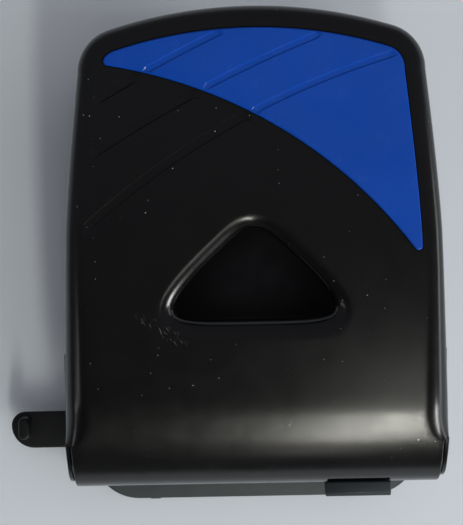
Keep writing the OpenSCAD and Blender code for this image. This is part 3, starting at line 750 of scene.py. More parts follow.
@dataclass(frozen=True)
class HandleForm:
    """The handle's sheet, unrolled along its side profile. Sizes are in millimetres."""

    width: float = 104.0
    rear_width: float = 91.5
    top_length: float = 110.0
    sheet: float = 1.3
    edge_radius: float = 5.0
    front_radius: float = 7.0
    front_run: float = 40.0
    wall: float = 12.5
    slope: float = math.radians(9)
    top_radius: float = 1260.0
    top_at: tuple[float, float] = (-8.1, 49.72)
    bend_from: float = 6.5
    bends: tuple[tuple[float, float], ...] = ((42, 41.7), (75, 11.84), (108, 26.0))
    corner_radius: float = 12.0
    rear_bow: float = 6.5
    ear_slot: float = 0.45
    ear_overlap: float = 0.05
    wall_from: float = -7.2
    wall_step: float = 0.35
    roll_full: float = 2.5
    roll_end: float = -8.0
    side_taper: float = 0.041
    draw_from: float = 50.0
    draw_power: float = 1.35
    lip_corner: float = 2.5
    hole_y: float = 28.5
    hole_sides: tuple[tuple[float, float], ...] = ((-90, 10.0), (47.5, 12.6), (132.5, 12.6), (0, 23.0),
                                                   (180, 23.7))
    hole_round: float = 5.0
    hole_roll: float = 4.4
    hole_flange: float = 6.2
    notch: tuple[float, float] = (19.5, 36.7)
    notch_depth: float = 17.9
    notch_round: float = 0.6
    step_reach: float = 2.0
    overrun: float = 10.0
    samples: int = 400
    side_points: int = 90
    corner_points: int = 30

    @property
    def bend_turns(self) -> np.ndarray:
        """Tilt of the sheet where the front starts to bend, and at the end of each bend."""
        first = self.slope - self.bend_from / self.top_radius
        return np.append(first, np.radians([turn for turn, _ in self.bends]))

    @property
    def bend_ends(self) -> np.ndarray:
        """Arc length where the front starts to bend, and at the end of each bend."""
        lengths = np.diff(self.bend_turns) * [radius for _, radius in self.bends]
        return self.bend_from - np.append(0.0, np.cumsum(lengths))

    @property
    def lip(self) -> float:
        """Arc length of the front lip."""
        return float(self.bend_ends[-1])

    @property
    def ear_x(self) -> float:
        """Inner face of the ears."""
        return self.width / 2 - self.sheet + self.ear_overlap

    @property
    def curl_x(self) -> float:
        """Ends of the front curl, beside the slots."""
        return self.ear_x - self.ear_slot

    def placed(self, flat: np.ndarray, height: np.ndarray | float) -> np.ndarray:
        """Points in space of places on the unrolled sheet.

        Args:
            flat: x and arc length, one place a row.
            height: height over the outer face.

        Returns:
            Points in millimetres, one a row.
        """
        s = flat[:, 1]
        radii = np.array([self.top_radius, *(radius for _, radius in self.bends)])
        turns = np.append(self.bend_turns[0], self.bend_turns[:-1])
        ends = np.append(self.bend_from, self.bend_ends[:-1])
        outward = np.column_stack([-np.sin(turns), np.cos(turns)])
        inward = np.array([math.sin(self.slope), -math.cos(self.slope)])
        top_centre = np.array(self.top_at) + self.top_radius * inward
        shifts = -np.diff(radii)[:, None] * outward[1:]
        centres = top_centre + np.vstack([[0.0, 0.0], np.cumsum(shifts, axis=0)])
        stretch = (s[:, None] < ends[1:]).sum(axis=1)
        turn = turns[stretch] - (s - ends[stretch]) / radii[stretch]
        reach = radii[stretch] + height
        y, z = centres[stretch].T
        return np.column_stack([flat[:, 0], y - reach * np.sin(turn), z + reach * np.cos(turn)])

    def unrolled(self, plan: np.ndarray) -> np.ndarray:
        """Places on the unrolled sheet of points in plan on the top.

        Args:
            plan: x and y, one point a row.

        Returns:
            x and arc length, one place a row.
        """
        s = np.linspace(0, self.top_length + self.overrun, self.samples)
        y = self.placed(np.column_stack([np.zeros_like(s), s]), 0.0)[:, 1]
        return np.column_stack([plan[:, 0], np.interp(plan[:, 1], y, s)])

    def side(self, s: np.ndarray) -> np.ndarray:
        """Half width of the sheet at an arc length.

        Args:
            s: arc lengths.

        Returns:
            One half width for each arc length.
        """
        half, rear = self.width / 2, self.rear_width / 2
        front = self.curl_x + (half - self.curl_x) * self.past_slot(s)
        draw = half - rear - self.side_taper * self.side_end
        drawn = np.clip((s - self.draw_from) / (self.side_end - self.draw_from), 0, None) ** self.draw_power
        return np.where(s < 0, front, half - self.side_taper * s - draw * drawn)

    def past_slot(self, s: np.ndarray) -> np.ndarray:
        """0 at the slot's end, rising to 1 just behind it."""
        return smooth_step(np.clip((s - self.wall_from) / self.wall_step, 0, 1))

    @property
    def side_end(self) -> float:
        """Arc length at which the rear corners begin to turn."""
        return self.top_length - self.rear_bow - self.corner_radius

    def wall_share(self, s: np.ndarray) -> np.ndarray:
        """Share of the full roll and wall: a quarter ellipse that ends bluntly at the slot."""
        bend = np.clip((self.roll_full - s) / (self.roll_full - self.roll_end), 0, 1)
        return np.sqrt(1 - bend * bend) * self.past_slot(s)

    def rear_half(self) -> np.ndarray:
        """Right half of the outline from the walls' start round to the middle of the rear edge.

        Returns:
            Points, one a row.
        """
        rear = self.rear_width / 2
        bow = ((rear - self.corner_radius / 2) ** 2 + self.rear_bow ** 2) / (2 * self.rear_bow)
        bow_s = self.top_length - bow
        corner_x = rear - self.corner_radius
        turn = math.acos(min(1.0, corner_x / (bow - self.corner_radius)))
        corner_s = bow_s + math.sqrt((bow - self.corner_radius) ** 2 - corner_x ** 2)
        behind = np.linspace(self.wall_from + self.wall_step, corner_s, self.side_points)[:-1]
        s = np.append(self.wall_from, behind)
        a = np.linspace(0, turn, self.corner_points)
        b = np.linspace(turn, math.pi / 2, self.corner_points)[1:]
        reach = self.side(np.array([corner_s]))[0] - corner_x
        return np.vstack([
            np.column_stack([self.side(s), s]),
            np.column_stack([corner_x + reach * np.cos(a), corner_s + self.corner_radius * np.sin(a)]),
            np.column_stack([bow * np.cos(b), bow_s + bow * np.sin(b)]),
        ])

    def front_half(self, notched: bool) -> np.ndarray:
        """Right half of the outline from the middle of the lip to the walls' start.

        Args:
            notched: whether the lip has the lock's notch.

        Returns:
            Points, one a row.
        """
        curl, low, r = self.curl_x, self.lip, self.lip_corner
        if notched:
            (x0, x1), top, q = self.notch, low + self.notch_depth, self.notch_round
            lip = [
                np.linspace((0, low), (x0 - q, low), 14)[:-1],
                corner((x0 - q, low + q), q, -90, 0, 7),
                np.linspace((x0, low + q), (x0, top - q), 16)[1:-1],
                corner((x0 + q, top - q), q, 180, 90, 7),
                np.linspace((x0 + q, top), (x1 - q, top), 14)[1:-1],
                corner((x1 - q, top - q), q, 90, 0, 7),
                np.linspace((x1, top - q), (x1, low + q), 16)[1:-1],
                corner((x1 + q, low + q), q, 180, 270, 7),
                np.linspace((x1 + q, low), (curl - r, low), 8)[1:-1],
            ]
        else:
            lip = [np.linspace((0, low), (curl - r, low), 34)[:-1]]
        end = np.linspace((curl, low + r), (curl, self.wall_from), 36)[1:-1]
        return np.vstack([*lip, corner((curl - r, low + r), r, -90, 0, 7), end])

    def outline(self) -> np.ndarray:
        """The unrolled sheet's outline, counter-clockwise from the middle of the lip.

        Returns:
            Points, one a row.
        """
        right = np.vstack([self.front_half(True), self.rear_half()])
        left = np.vstack([self.front_half(False), self.rear_half()])[-2:0:-1]
        return np.vstack([right, left * [-1, 1]])

    def outline_normals(self, outline: np.ndarray) -> np.ndarray:
        """Outward normals of the outline, square to the sides where the slots step in.

        Args:
            outline: the outline's points.

        Returns:
            One unit normal for each point.
        """
        normals = loop_normals(outline)
        near = np.abs(outline[:, 1] - self.wall_from) < self.step_reach
        stepped = near & (np.abs(outline[:, 0]) > self.width / 4)
        normals[stepped] = np.column_stack([np.sign(outline[stepped, 0]), np.zeros(stepped.sum())])
        return normals

    def hole(self, count: int = 168) -> np.ndarray:
        """The triangular hole's inner edge on the unrolled sheet, counter-clockwise.

        Args:
            count: number of points.

        Returns:
            Points, one a row.
        """
        middle = self.unrolled(np.array([[0.0, self.hole_y]]))[0]
        turn = np.linspace(0, math.tau, count, endpoint=False)
        terms = [np.clip(np.cos(turn - math.radians(a)), 0, None) / d for a, d in self.hole_sides]
        reach = sum(t ** self.hole_round for t in terms) ** (-1 / self.hole_round)
        return middle + reach[:, None] * on_circle(turn)


@dataclass(frozen=True)
class InlayForm:
    """Outline of the blue inlay in plan, in millimetres."""

    rim: float = 5.8
    left_tip: tuple[float, float] = (-39.75, 86.1)
    front_tip: tuple[float, float] = (42.0, 37.1)
    arc_radius: float = 125.0
    tip_radius: float = 1.3
    gap: float = 0.25
    seat: float = 0.12
    recess: float = 0.5
    thick: float = 0.9
    edge_radius: float = 0.45
    edge_from: float = 30.0
    arc_points: int = 90

    def arc_centre(self) -> np.ndarray:
        """Centre of the long arc in plan.

        Returns:
            x and y.
        """
        a, b = np.array(self.left_tip), np.array(self.front_tip)
        chord = b - a
        right = np.array([chord[1], -chord[0]]) / np.linalg.norm(chord)
        return (a + b) / 2 + right * math.sqrt(self.arc_radius ** 2 - (np.linalg.norm(chord) / 2) ** 2)

    def loop(self, form: HandleForm) -> np.ndarray:
        """The inlay's pocket on the unrolled sheet, counter-clockwise.

        Args:
            form: the handle's sheet.

        Returns:
            Points, one a row.
        """
        outline = form.outline()
        rim = outline - loop_normals(outline) * self.rim
        plan = np.column_stack([rim[:, 0], form.placed(rim, 0.0)[:, 1]])
        centre = self.arc_centre()
        beyond = np.linalg.norm(plan - centre, axis=1) > self.arc_radius
        edge = plan[beyond & (plan[:, 1] > self.edge_from)]
        first, last = edge[0] - centre, edge[-1] - centre
        start, end = math.atan2(last[1], last[0]), math.atan2(first[1], first[0])
        arc = centre + self.arc_radius * on_circle(np.linspace(start, end, self.arc_points))
        loop = np.vstack([edge, arc])
        loop = rounded_tip(loop, len(edge), self.tip_radius)
        front = int(np.argmin(loop[:, 1]))
        return form.unrolled(rounded_tip(loop, front, self.tip_radius))


def grid(loop: np.ndarray, step: float, margin: float, keep_off: Sequence[np.ndarray]) -> np.ndarray:
    """Points of an even grid inside a loop, closer at the front and away from given paths.

    Args:
        loop: the loop.
        step: spacing of the grid.
        margin: least distance from the paths.
        keep_off: the paths.

    Returns:
        Points, one a row.
    """
    low, high = loop.min(axis=0), loop.max(axis=0)
    rows = np.arange(low[1] + step / 2, high[1], step)
    fine = np.arange(low[1], FINE_BELOW, step / 2)
    rows = np.sort(np.concatenate([rows[rows > FINE_BELOW], fine]))
    columns = np.arange(low[0] + step / 2, high[0], step)
    points = np.array([(x + (i % 2) * step / 2, y) for i, y in enumerate(rows) for x in columns])
    points = points[inside(points, loop)]
    for path in keep_off:
        points = points[distance(points, path, closed=True) > margin]
    return points


@dataclass
class HandleShell:
    """The stamped handle: sheet, rolled edges, ears and the hole's flange."""

    form: HandleForm = field(default_factory=HandleForm)
    pocket: InlayForm = field(default_factory=InlayForm)
    channel: ChannelForm = ChannelForm(2.6, 0.32, 0.30)
    border_gap: float = 0.6
    pocket_gap: float = 1.4
    channel_fade: float = 1.2
    channel_clear: float = 0.3
    pocket_wall: float = 0.12
    grid_step: float = 2.0
    grid_margin: float = 0.7
    roll_steps: int = 9
    chamfer: float = 0.25
    axle: tuple[float, float] = (-19.0, 33.0)
    axle_radius: float = 2.53
    nose_radius: float = 5.0
    ear_inset: float = 1.4
    ear_top: float = 2.0
    ear_sunk: float = 0.4
    ear_tail: tuple[tuple[float, float], ...] = ((10.5, 10.5), (10.5, 6.4), (-4.5, 4.0))
    ear_bevel: float = 0.2
    ear_thick: float = 1.2
    bore_points: int = 40
    cut_round: float = 0.4
    crease: float = 14.0

    def roll_radius(self, s: np.ndarray) -> np.ndarray:
        """Radius of the rolled edge at an arc length."""
        full = np.interp(s, [0, self.form.front_run], [self.form.front_radius, self.form.edge_radius])
        return self.cut_round + (full - self.cut_round) * self.form.wall_share(s)

    def edge_section(self, s: np.ndarray) -> list[tuple[np.ndarray, np.ndarray]]:
        """Section through the rolled edge at each outline point, from the top face round to the underside.

        Args:
            s: arc length of each outline point.

        Returns:
            Pairs of inward distance and height, one pair for each step of the section.
        """
        sheet, chamfer, roll = self.form.sheet, self.chamfer, self.roll_radius(s)
        wall = sheet + (self.form.wall - sheet) * self.form.wall_share(s)
        core = np.maximum(roll, sheet)
        turns = quarter(self.roll_steps)
        zero = np.zeros_like(s)
        outer = [(roll * (1 - math.sin(b)), -roll * (1 - math.cos(b))) for b in turns]
        tip = [(zero, chamfer - wall), (zero + chamfer, -wall), (np.minimum(sheet - chamfer, roll), -wall),
               (np.minimum(sheet, roll), np.minimum(chamfer, wall - sheet) - wall)]
        inner = [(np.minimum(core - (core - sheet) * math.sin(b), roll), -core + (core - sheet) * math.cos(b))
                 for b in turns[::-1]]
        return outer + tip + inner

    def flange_section(self, count: int) -> list[tuple[np.ndarray, np.ndarray]]:
        """Section through the hole's rolled flange, from the underside round to the top face.

        Args:
            count: number of points round the hole.

        Returns:
            Pairs of outward distance and height.
        """
        roll, depth = self.form.hole_roll, self.form.hole_flange
        sheet, chamfer = self.form.sheet, self.chamfer
        turns, lower = quarter(self.roll_steps), roll - sheet
        under = [(roll - lower * math.cos(b), -roll + lower * math.sin(b)) for b in turns[::-1]]
        tip = [(sheet, chamfer - depth), (sheet - chamfer, -depth), (chamfer, -depth), (0.0, chamfer - depth)]
        over = [(roll * (1 - math.cos(b)), -roll * (1 - math.sin(b))) for b in turns]
        return [(np.full(count, d), np.full(count, h)) for d, h in under + tip + over]

    def channels(self, border: np.ndarray, pocket: np.ndarray) -> list[np.ndarray]:
        """Centre lines of the pressed channels on the unrolled sheet, left of the inlay.

        Args:
            border: loop at which the rolled edges begin.
            pocket: the inlay's pocket.

        Returns:
            One line for each channel.
        """
        lines = []
        for groove in GROOVES:
            line = self.form.unrolled(groove.line())
            line = line[inside(line, border) & (distance(line, border, closed=True) > self.border_gap)]
            free = ~inside(line, pocket) & (distance(line, pocket, closed=True) > self.pocket_gap)
            lines.append(line[: int(np.argmin(free))] if not free.all() else line)
        return lines

    def build(self) -> bpy.types.Object:
        """Make the handle's mesh.

        Returns:
            The handle, with its ears.
        """
        outline, hole = self.form.outline(), self.form.hole()
        out, away = self.form.outline_normals(outline), loop_normals(hole)
        edge = self.edge_section(outline[:, 1])
        flange = self.flange_section(len(hole))
        border = outline - out * edge[0][0][:, None]
        brink = hole + away * flange[-1][0][:, None]
        pocket = self.pocket.loop(self.form)
        wall_foot = pocket - loop_normals(pocket) * self.pocket_wall
        centres = self.channels(border, pocket)
        lines = [beside(line, offset) for line in centres for offset in self.channel.edges()]
        spots = grid(border, self.grid_step, self.grid_margin, [border, brink, pocket])
        spots = self.channel.clear(spots[~inside(spots, brink)], centres, self.channel_clear)
        flat, faces = filled([border, brink, pocket, wall_foot], lines, spots, brink)
        relief = self.relief(flat, pocket, centres)
        top = self.form.placed(flat, relief)
        below = self.form.placed(flat, relief - self.form.sheet)
        points, all_faces = [top, below], [faces, faces[:, ::-1] + len(top)]
        start = 2 * len(top)
        for loop, normal, section in ((outline, -out, edge), (hole, away, flange)):
            rings = [self.form.placed(loop + normal * d[:, None], h) for d, h in section]
            points.extend(rings)
            strips = np.array(ring_faces(len(rings), len(loop), start))
            all_faces.append(strips[:, ::-1])
            start += len(rings) * len(loop)
        listed = [tuple(f) for group in all_faces for f in group]
        for side in Side:
            ear_points, ear_faces = self.ear(side)
            listed.extend(tuple(i + start for i in f) for f in ear_faces)
            points.append(ear_points)
            start += len(ear_points)
        return mesh_object("handle_shell", np.vstack(points), listed, self.crease)

    def relief(self, flat: np.ndarray, pocket: np.ndarray, centres: Sequence[np.ndarray]) -> np.ndarray:
        """Height of the pressed pocket and channels at places on the sheet.

        Args:
            flat: places on the unrolled sheet.
            pocket: the pocket's loop.
            centres: the channels' centre lines.

        Returns:
            One height for each place, at most 0.
        """
        depth = np.where(inside(flat, pocket), distance(flat, pocket, closed=True), 0.0)
        height = -self.pocket.recess * np.clip(depth / self.pocket_wall, 0, 1)
        for line in centres:
            height -= self.channel.relief(flat, line, fade=self.channel_fade)
        return height

    def ear(self, side: Side) -> tuple[np.ndarray, list[tuple[int, ...]]]:
        """One side plate with the axle's bore.

        Args:
            side: which side.

        Returns:
            Points and faces.
        """
        form, (ay, az) = self.form, self.axle
        s = np.append(np.linspace(form.lip, form.wall_from, 50),
                      np.linspace(form.wall_from + form.wall_step, self.ear_top, 20))
        depth = np.where(s > form.wall_from, self.roll_radius(s) + self.ear_sunk, self.ear_inset)
        front = form.placed(np.column_stack([np.zeros_like(s), s]), -depth)[:, 1:]
        nose = (ay + self.nose_radius, az - self.nose_radius)
        tail = [(y, az + rise) for y, rise in self.ear_tail] + [nose]
        loop = np.vstack([front[front[:, 1] > nose[1]], tail])[::-1]
        turns = np.linspace(0, math.tau, self.bore_points, endpoint=False)
        bore = np.array(self.axle) + self.axle_radius * on_circle(turns)
        bevel, x0, x1 = self.ear_bevel, form.ear_x, form.ear_x + self.ear_thick
        inset = loop - loop_normals(loop) * bevel
        flat, faces = filled([inset, bore], hole=bore)
        levels = [(inset, x0), (loop, x0 + bevel), (loop, x1 - bevel), (inset, x1)]
        points = [np.column_stack([np.full(len(flat), x), flat]) for x in (x0, x1)]
        listed = [tuple(f[::-1]) for f in faces] + [tuple(f + len(flat)) for f in faces]
        start = 2 * len(flat)
        points += [np.column_stack([np.full(len(ring), x), ring]) for ring, x in levels]
        listed += ring_faces(len(levels), len(loop), start)
        start += len(levels) * len(loop)
        points += [np.column_stack([np.full(len(bore), x), bore]) for x in (x0, x1)]
        listed += [f[::-1] for f in ring_faces(2, len(bore), start)]
        stacked = np.vstack(points)
        if side is Side.LEFT:
            return stacked * [-1, 1, 1], [f[::-1] for f in listed]
        return stacked, listed

    def dress(self, made: bpy.types.Object) -> bpy.types.Object:
        """Paint the handle and let it stand for its node."""
        return dressed(made, BLACK_PAINT, Body.HANDLE, "black_paint", "handle")


def slab(loop: np.ndarray, low: float, high: float, ease: float, steps: int = 4
         ) -> tuple[np.ndarray, list[tuple[int, ...]]]:
    """An upright plate over a counter-clockwise loop, with rounded rims.

    Args:
        loop: the outline in plan.
        low: height of the underside.
        high: height of the top.
        ease: radius of the rims.
        steps: number of steps on a rim.

    Returns:
        Points and faces.
    """
    turns = quarter(steps)
    section = [(ease * (1 - math.sin(b)), low + ease * (1 - math.cos(b))) for b in turns]
    section += [(ease * (1 - math.cos(b)), high - ease * (1 - math.sin(b))) for b in turns]
    normal = loop_normals(loop)
    points, faces = [], []
    for inset, level, up in ((section[0][0], low, False), (section[-1][0], high, True)):
        flat, cap = filled([loop - normal * inset])
        start = sum(map(len, points))
        faces += [tuple((f if up else f[::-1]) + start) for f in cap]
        points.append(np.column_stack([flat, np.full(len(flat), level)]))
    start = sum(map(len, points))
    for inset, level in section:
        points.append(np.column_stack([loop - normal * inset, np.full(len(loop), level)]))
    faces += ring_faces(len(section), len(loop), start)
    return np.vstack(points), faces


@dataclass
class InlayPlate:
    """The blue plastic plate in the handle's pocket, with its moulded channels."""

    form: HandleForm = field(default_factory=HandleForm)
    shape: InlayForm = field(default_factory=InlayForm)
    channel: ChannelForm = ChannelForm(2.0, 0.35, 0.25)
    channel_fade: float = 0.05
    channel_clear: float = 0.3
    border_gap: float = 0.3
    grid_step: float = 2.2
    grid_margin: float = 0.6
    edge_steps: int = 8
    crease: float = 14.0

    def build(self) -> bpy.types.Object:
        """Make the plate's mesh, with a rounded edge.

        Returns:
            The plate.
        """
        pocket = self.shape.loop(self.form)
        normal = loop_normals(pocket)
        outer = pocket - normal * self.shape.gap
        low = self.shape.seat - self.shape.recess
        high = low + self.shape.thick
        r = self.shape.edge_radius
        section = [(r * (1 - math.sin(b)), high - r * (1 - math.cos(b))) for b in quarter(self.edge_steps)]
        section.append((0.0, low))
        border = outer - normal * section[0][0]
        centres = [self.form.unrolled(groove.line()) for groove in GROOVES]
        centres = [line[inside(line, border) & (distance(line, border, closed=True) > self.border_gap)]
                   for line in centres]
        edges = [beside(line, offset) for line in centres for offset in self.channel.edges()]
        spots = grid(border, self.grid_step, self.grid_margin, [border])
        spots = self.channel.clear(spots, centres, self.channel_clear)
        flat, faces = filled([border], [edge[inside(edge, border)] for edge in edges], spots)
        height = np.full(len(flat), high)
        for line in centres:
            height -= self.channel.relief(flat, line, fade=self.channel_fade)
        points = [self.form.placed(flat, height)]
        listed = [tuple(f) for f in faces]
        start = len(flat)
        rings = [self.form.placed(outer - normal * d, h) for d, h in section]
        points += rings
        listed += [f[::-1] for f in ring_faces(len(rings), len(outer), start)]
        start += len(rings) * len(outer)
        base, base_faces = filled([outer])
        points.append(self.form.placed(base, low))
        listed += [tuple(f[::-1] + start) for f in base_faces]
        return mesh_object("blue_inlay", np.vstack(points), listed, self.crease)

    def dress(self, made: bpy.types.Object) -> bpy.types.Object:
        """Colour the plate and let it stand for its node."""
        return dressed(made, BLUE_PLASTIC, Body.HANDLE, "blue_plastic", "handle_inlay")


# Paper guide


@dataclass
class PaperGuide:
    """The sliding strip at the left, with the stop that a sheet's edge meets. Sizes are in millimetres."""

    tip: float = -72.5
    length: float = 97.0
    front: float = -19.6
    width: float = 10.8
    large_radius: float = 6.8
    low: float = 6.95
    thick: float = 2.0
    rim: float = 0.55
    stop_x: tuple[float, float] = (-69.5, -66.3)
    stop_y: tuple[float, float] = (-16.4, -9.9)
    stop_high: float = 15.5
    stop_rim: float = 0.8
    stop_radius: float = 1.4
    end_radius: float = 1.0

    def build(self) -> bpy.types.Object:
        """Make the strip with its rounded tip, and the stop on it.

        Returns:
            The guide.
        """
        turn = self.front + self.large_radius
        small = self.width - self.large_radius
        r = self.end_radius
        end = self.tip + self.length - r
        outline = np.vstack([
            corner((self.tip + self.large_radius, turn), self.large_radius, 180, 270),
            corner((end, self.front + r), r, 270, 360, 6),
            corner((end, turn + small - r), r, 0, 90, 6),
            corner((self.tip + small, turn), small, 90, 180)[:-1]])
        (x0, x1), (y0, y1), r = self.stop_x, self.stop_y, self.stop_radius
        centres = ((x0 + r, y0 + r), (x1 - r, y0 + r), (x1 - r, y1 - r), (x0 + r, y1 - r))
        block = np.vstack([corner(at, r, 180 + 90 * i, 270 + 90 * i, 8) for i, at in enumerate(centres)])
        strip, strip_faces = slab(outline, self.low, self.low + self.thick, self.rim)
        stop, stop_faces = slab(block, self.low + self.thick / 2, self.stop_high, self.stop_rim)
        faces = strip_faces + [tuple(i + len(strip) for i in f) for f in stop_faces]
        return mesh_object("sliding_paper_guide", np.vstack([strip, stop]), faces)

    def dress(self, made: bpy.types.Object) -> bpy.types.Object:
        """Finish the guide and let it stand for its node."""
        return dressed(made, BLACK_PLASTIC, Body.GUIDE, "black_plastic", "paper_guide")


# Pieces that repeat or follow a path, made by Geometry Nodes


class PatternTree:
    """A Geometry Nodes tree while a set of pieces builds it. Its inputs are in millimetres."""

    def __init__(self, name: str, **sizes: float) -> None:
        """Start a tree with one named input for each size.

        Args:
            name: name of the tree.
            sizes: the sizes, in millimetres.
        """
        self.tree = bpy.data.node_groups.new(name, "GeometryNodeTree")
        self.tree.interface.new_socket("Places", in_out="INPUT", socket_type="NodeSocketGeometry")
        self.tree.interface.new_socket("Pieces", in_out="OUTPUT", socket_type="NodeSocketGeometry")
        self.sizes = sizes
        self.keys = {}
        for key in sizes:
            socket = self.tree.interface.new_socket(key, in_out="INPUT", socket_type="NodeSocketFloat")
            self.keys[key] = socket.identifier
        self.source = self.tree.nodes.new("NodeGroupInput")

    def node(self, kind: str, values: dict[str | int, object] | None = None, **settings: object
             ) -> bpy.types.NodeSocket:
        """Add a node and fill its inputs.

        Args:
            kind: the node's type name.
            values: a socket, a list of sockets or a constant for each input, by name or place.
            settings: attributes of the node.

        Returns:
            The node's first output that is in use.
        """
        made = self.tree.nodes.new(kind)
        for key, value in settings.items():
            setattr(made, key, value)
        for key, value in (values or {}).items():
            for one in value if isinstance(value, list) else [value]:
                if isinstance(one, bpy.types.NodeSocket):
                    self.tree.links.new(one, made.inputs[key])
                else:
                    made.inputs[key].default_value = one
        return next(socket for socket in made.outputs if socket.enabled)

    def size(self, key: str) -> bpy.types.NodeSocket:
        """One of the named inputs."""
        return self.source.outputs[key]

    def math(self, kind: str, first: object, second: object) -> bpy.types.NodeSocket:
        """One arithmetic step on two sockets or numbers."""
        return self.node("ShaderNodeMath", {0: first, 1: second}, operation=kind)

    def vector(self, x: object = 0.0, y: object = 0.0, z: object = 0.0) -> bpy.types.NodeSocket:
        """A vector from three sockets or numbers."""
        return self.node("ShaderNodeCombineXYZ", {"X": x, "Y": y, "Z": z})

    def position(self) -> bpy.types.NodeOutputs:
        """The x, y and z of each point."""
        return self.node("ShaderNodeSeparateXYZ", {0: self.node("GeometryNodeInputPosition")}).node.outputs

    def rod(self, radius: bpy.types.NodeSocket, length: bpy.types.NodeSocket) -> bpy.types.NodeSocket:
        """A round rod about z = 0."""
        return self.node("GeometryNodeMeshCylinder", {"Vertices": 32, "Radius": radius, "Depth": length})

    def moved(self, shape: bpy.types.NodeSocket, **values: object) -> bpy.types.NodeSocket:
        """A shape shifted, turned or scaled."""
        return self.node("GeometryNodeTransform", {"Geometry": shape, **values})

    def dome(self, radius: bpy.types.NodeSocket, height: bpy.types.NodeSocket) -> bpy.types.NodeSocket:
        """A closed half ball on z = 0, flattened to a height.

        Args:
            radius: radius of the rim.
            height: height of the crown.

        Returns:
            The dome.
        """
        ball = self.node("GeometryNodeMeshUVSphere", {"Segments": 40, "Rings": 20, "Radius": 1.0})
        below = self.math("LESS_THAN", self.position()["Z"], -0.01)
        cap = self.node("GeometryNodeDeleteGeometry", {"Geometry": ball, "Selection": below})
        disc = self.node("GeometryNodeMeshCircle", {"Vertices": 40, "Radius": 1.0}, fill_type="NGON")
        under = self.node("GeometryNodeFlipFaces", {"Mesh": disc})
        both = self.node("GeometryNodeJoinGeometry", {0: [cap, under]})
        closed = self.node("GeometryNodeMergeByDistance", {"Geometry": both, "Distance": 1e-4})
        return self.moved(closed, Scale=self.vector(radius, radius, height))

    def made(self, name: str, places: Sequence[Sequence[float]], shape: bpy.types.NodeSocket, finish: Finish
             ) -> bpy.types.Object:
        """Set the shape on every place and turn the result into a plain mesh.

        Args:
            name: name of the object.
            places: where the pieces stand, in millimetres.
            shape: one piece.
            finish: the pieces' finish.

        Returns:
            The object, at the origin.
        """
        placed = self.node("GeometryNodeInstanceOnPoints", {"Points": self.size("Places"), "Instance": shape})
        real = self.node("GeometryNodeRealizeInstances", {"Geometry": placed})
        metres = self.moved(real, Scale=(MM, MM, MM))
        painted = self.node("GeometryNodeSetMaterial", {"Geometry": metres, "Material": finish.material()})
        result = self.tree.nodes.new("NodeGroupOutput")
        self.tree.links.new(painted, result.inputs["Pieces"])
        spots = bpy.data.meshes.new(name)
        spots.from_pydata([tuple(map(float, place)) for place in places], [], [])
        holder = linked(name, spots)
        pattern = holder.modifiers.new("pattern", "NODES")
        pattern.node_group = self.tree
        for key, identifier in self.keys.items():
            pattern[identifier] = float(self.sizes[key])
        return finished(name, applied(holder), EASED_SHARP_DEG)


@dataclass
class RivetSet:
    """Domed rivets through the brackets' feet. Sizes are in millimetres."""

    places: tuple[tuple[float, float], ...] = ((-43.2, 18.0), (-36.8, 18.0), (36.8, 18.0), (43.2, 18.0))
    low: float = 9.5
    high: float = 12.5
    radius: float = 1.5
    head_radius: float = 2.7
    head: float = 0.9

    def build(self) -> bpy.types.Object:
        """Join a shank and two domes and repeat them.

        Returns:
            All the rivets as one mesh.
        """
        tree = PatternTree("domed_rivets", Radius=self.radius, Grip=self.high - self.low,
                           HeadRadius=self.head_radius, Head=self.head)
        grip = tree.size("Grip")
        shank = tree.rod(tree.size("Radius"), grip)
        dome = tree.dome(tree.size("HeadRadius"), tree.size("Head"))
        half = tree.math("MULTIPLY", grip, 0.5)
        upper = tree.moved(dome, Translation=tree.vector(z=half))
        lower = tree.moved(upper, Rotation=(math.pi, 0.0, 0.0))
        rivet = tree.node("GeometryNodeJoinGeometry", {0: [shank, upper, lower]})
        middle = (self.low + self.high) / 2
        return tree.made("domed_rivets", [(*place, middle) for place in self.places], rivet, ZINC_RIVET)

    def dress(self, made: bpy.types.Object) -> bpy.types.Object:
        """Let the rivets stand for their node."""
        return dressed(made, ZINC_RIVET, Body.BASE, "zinc_steel", "bracket_rivets")


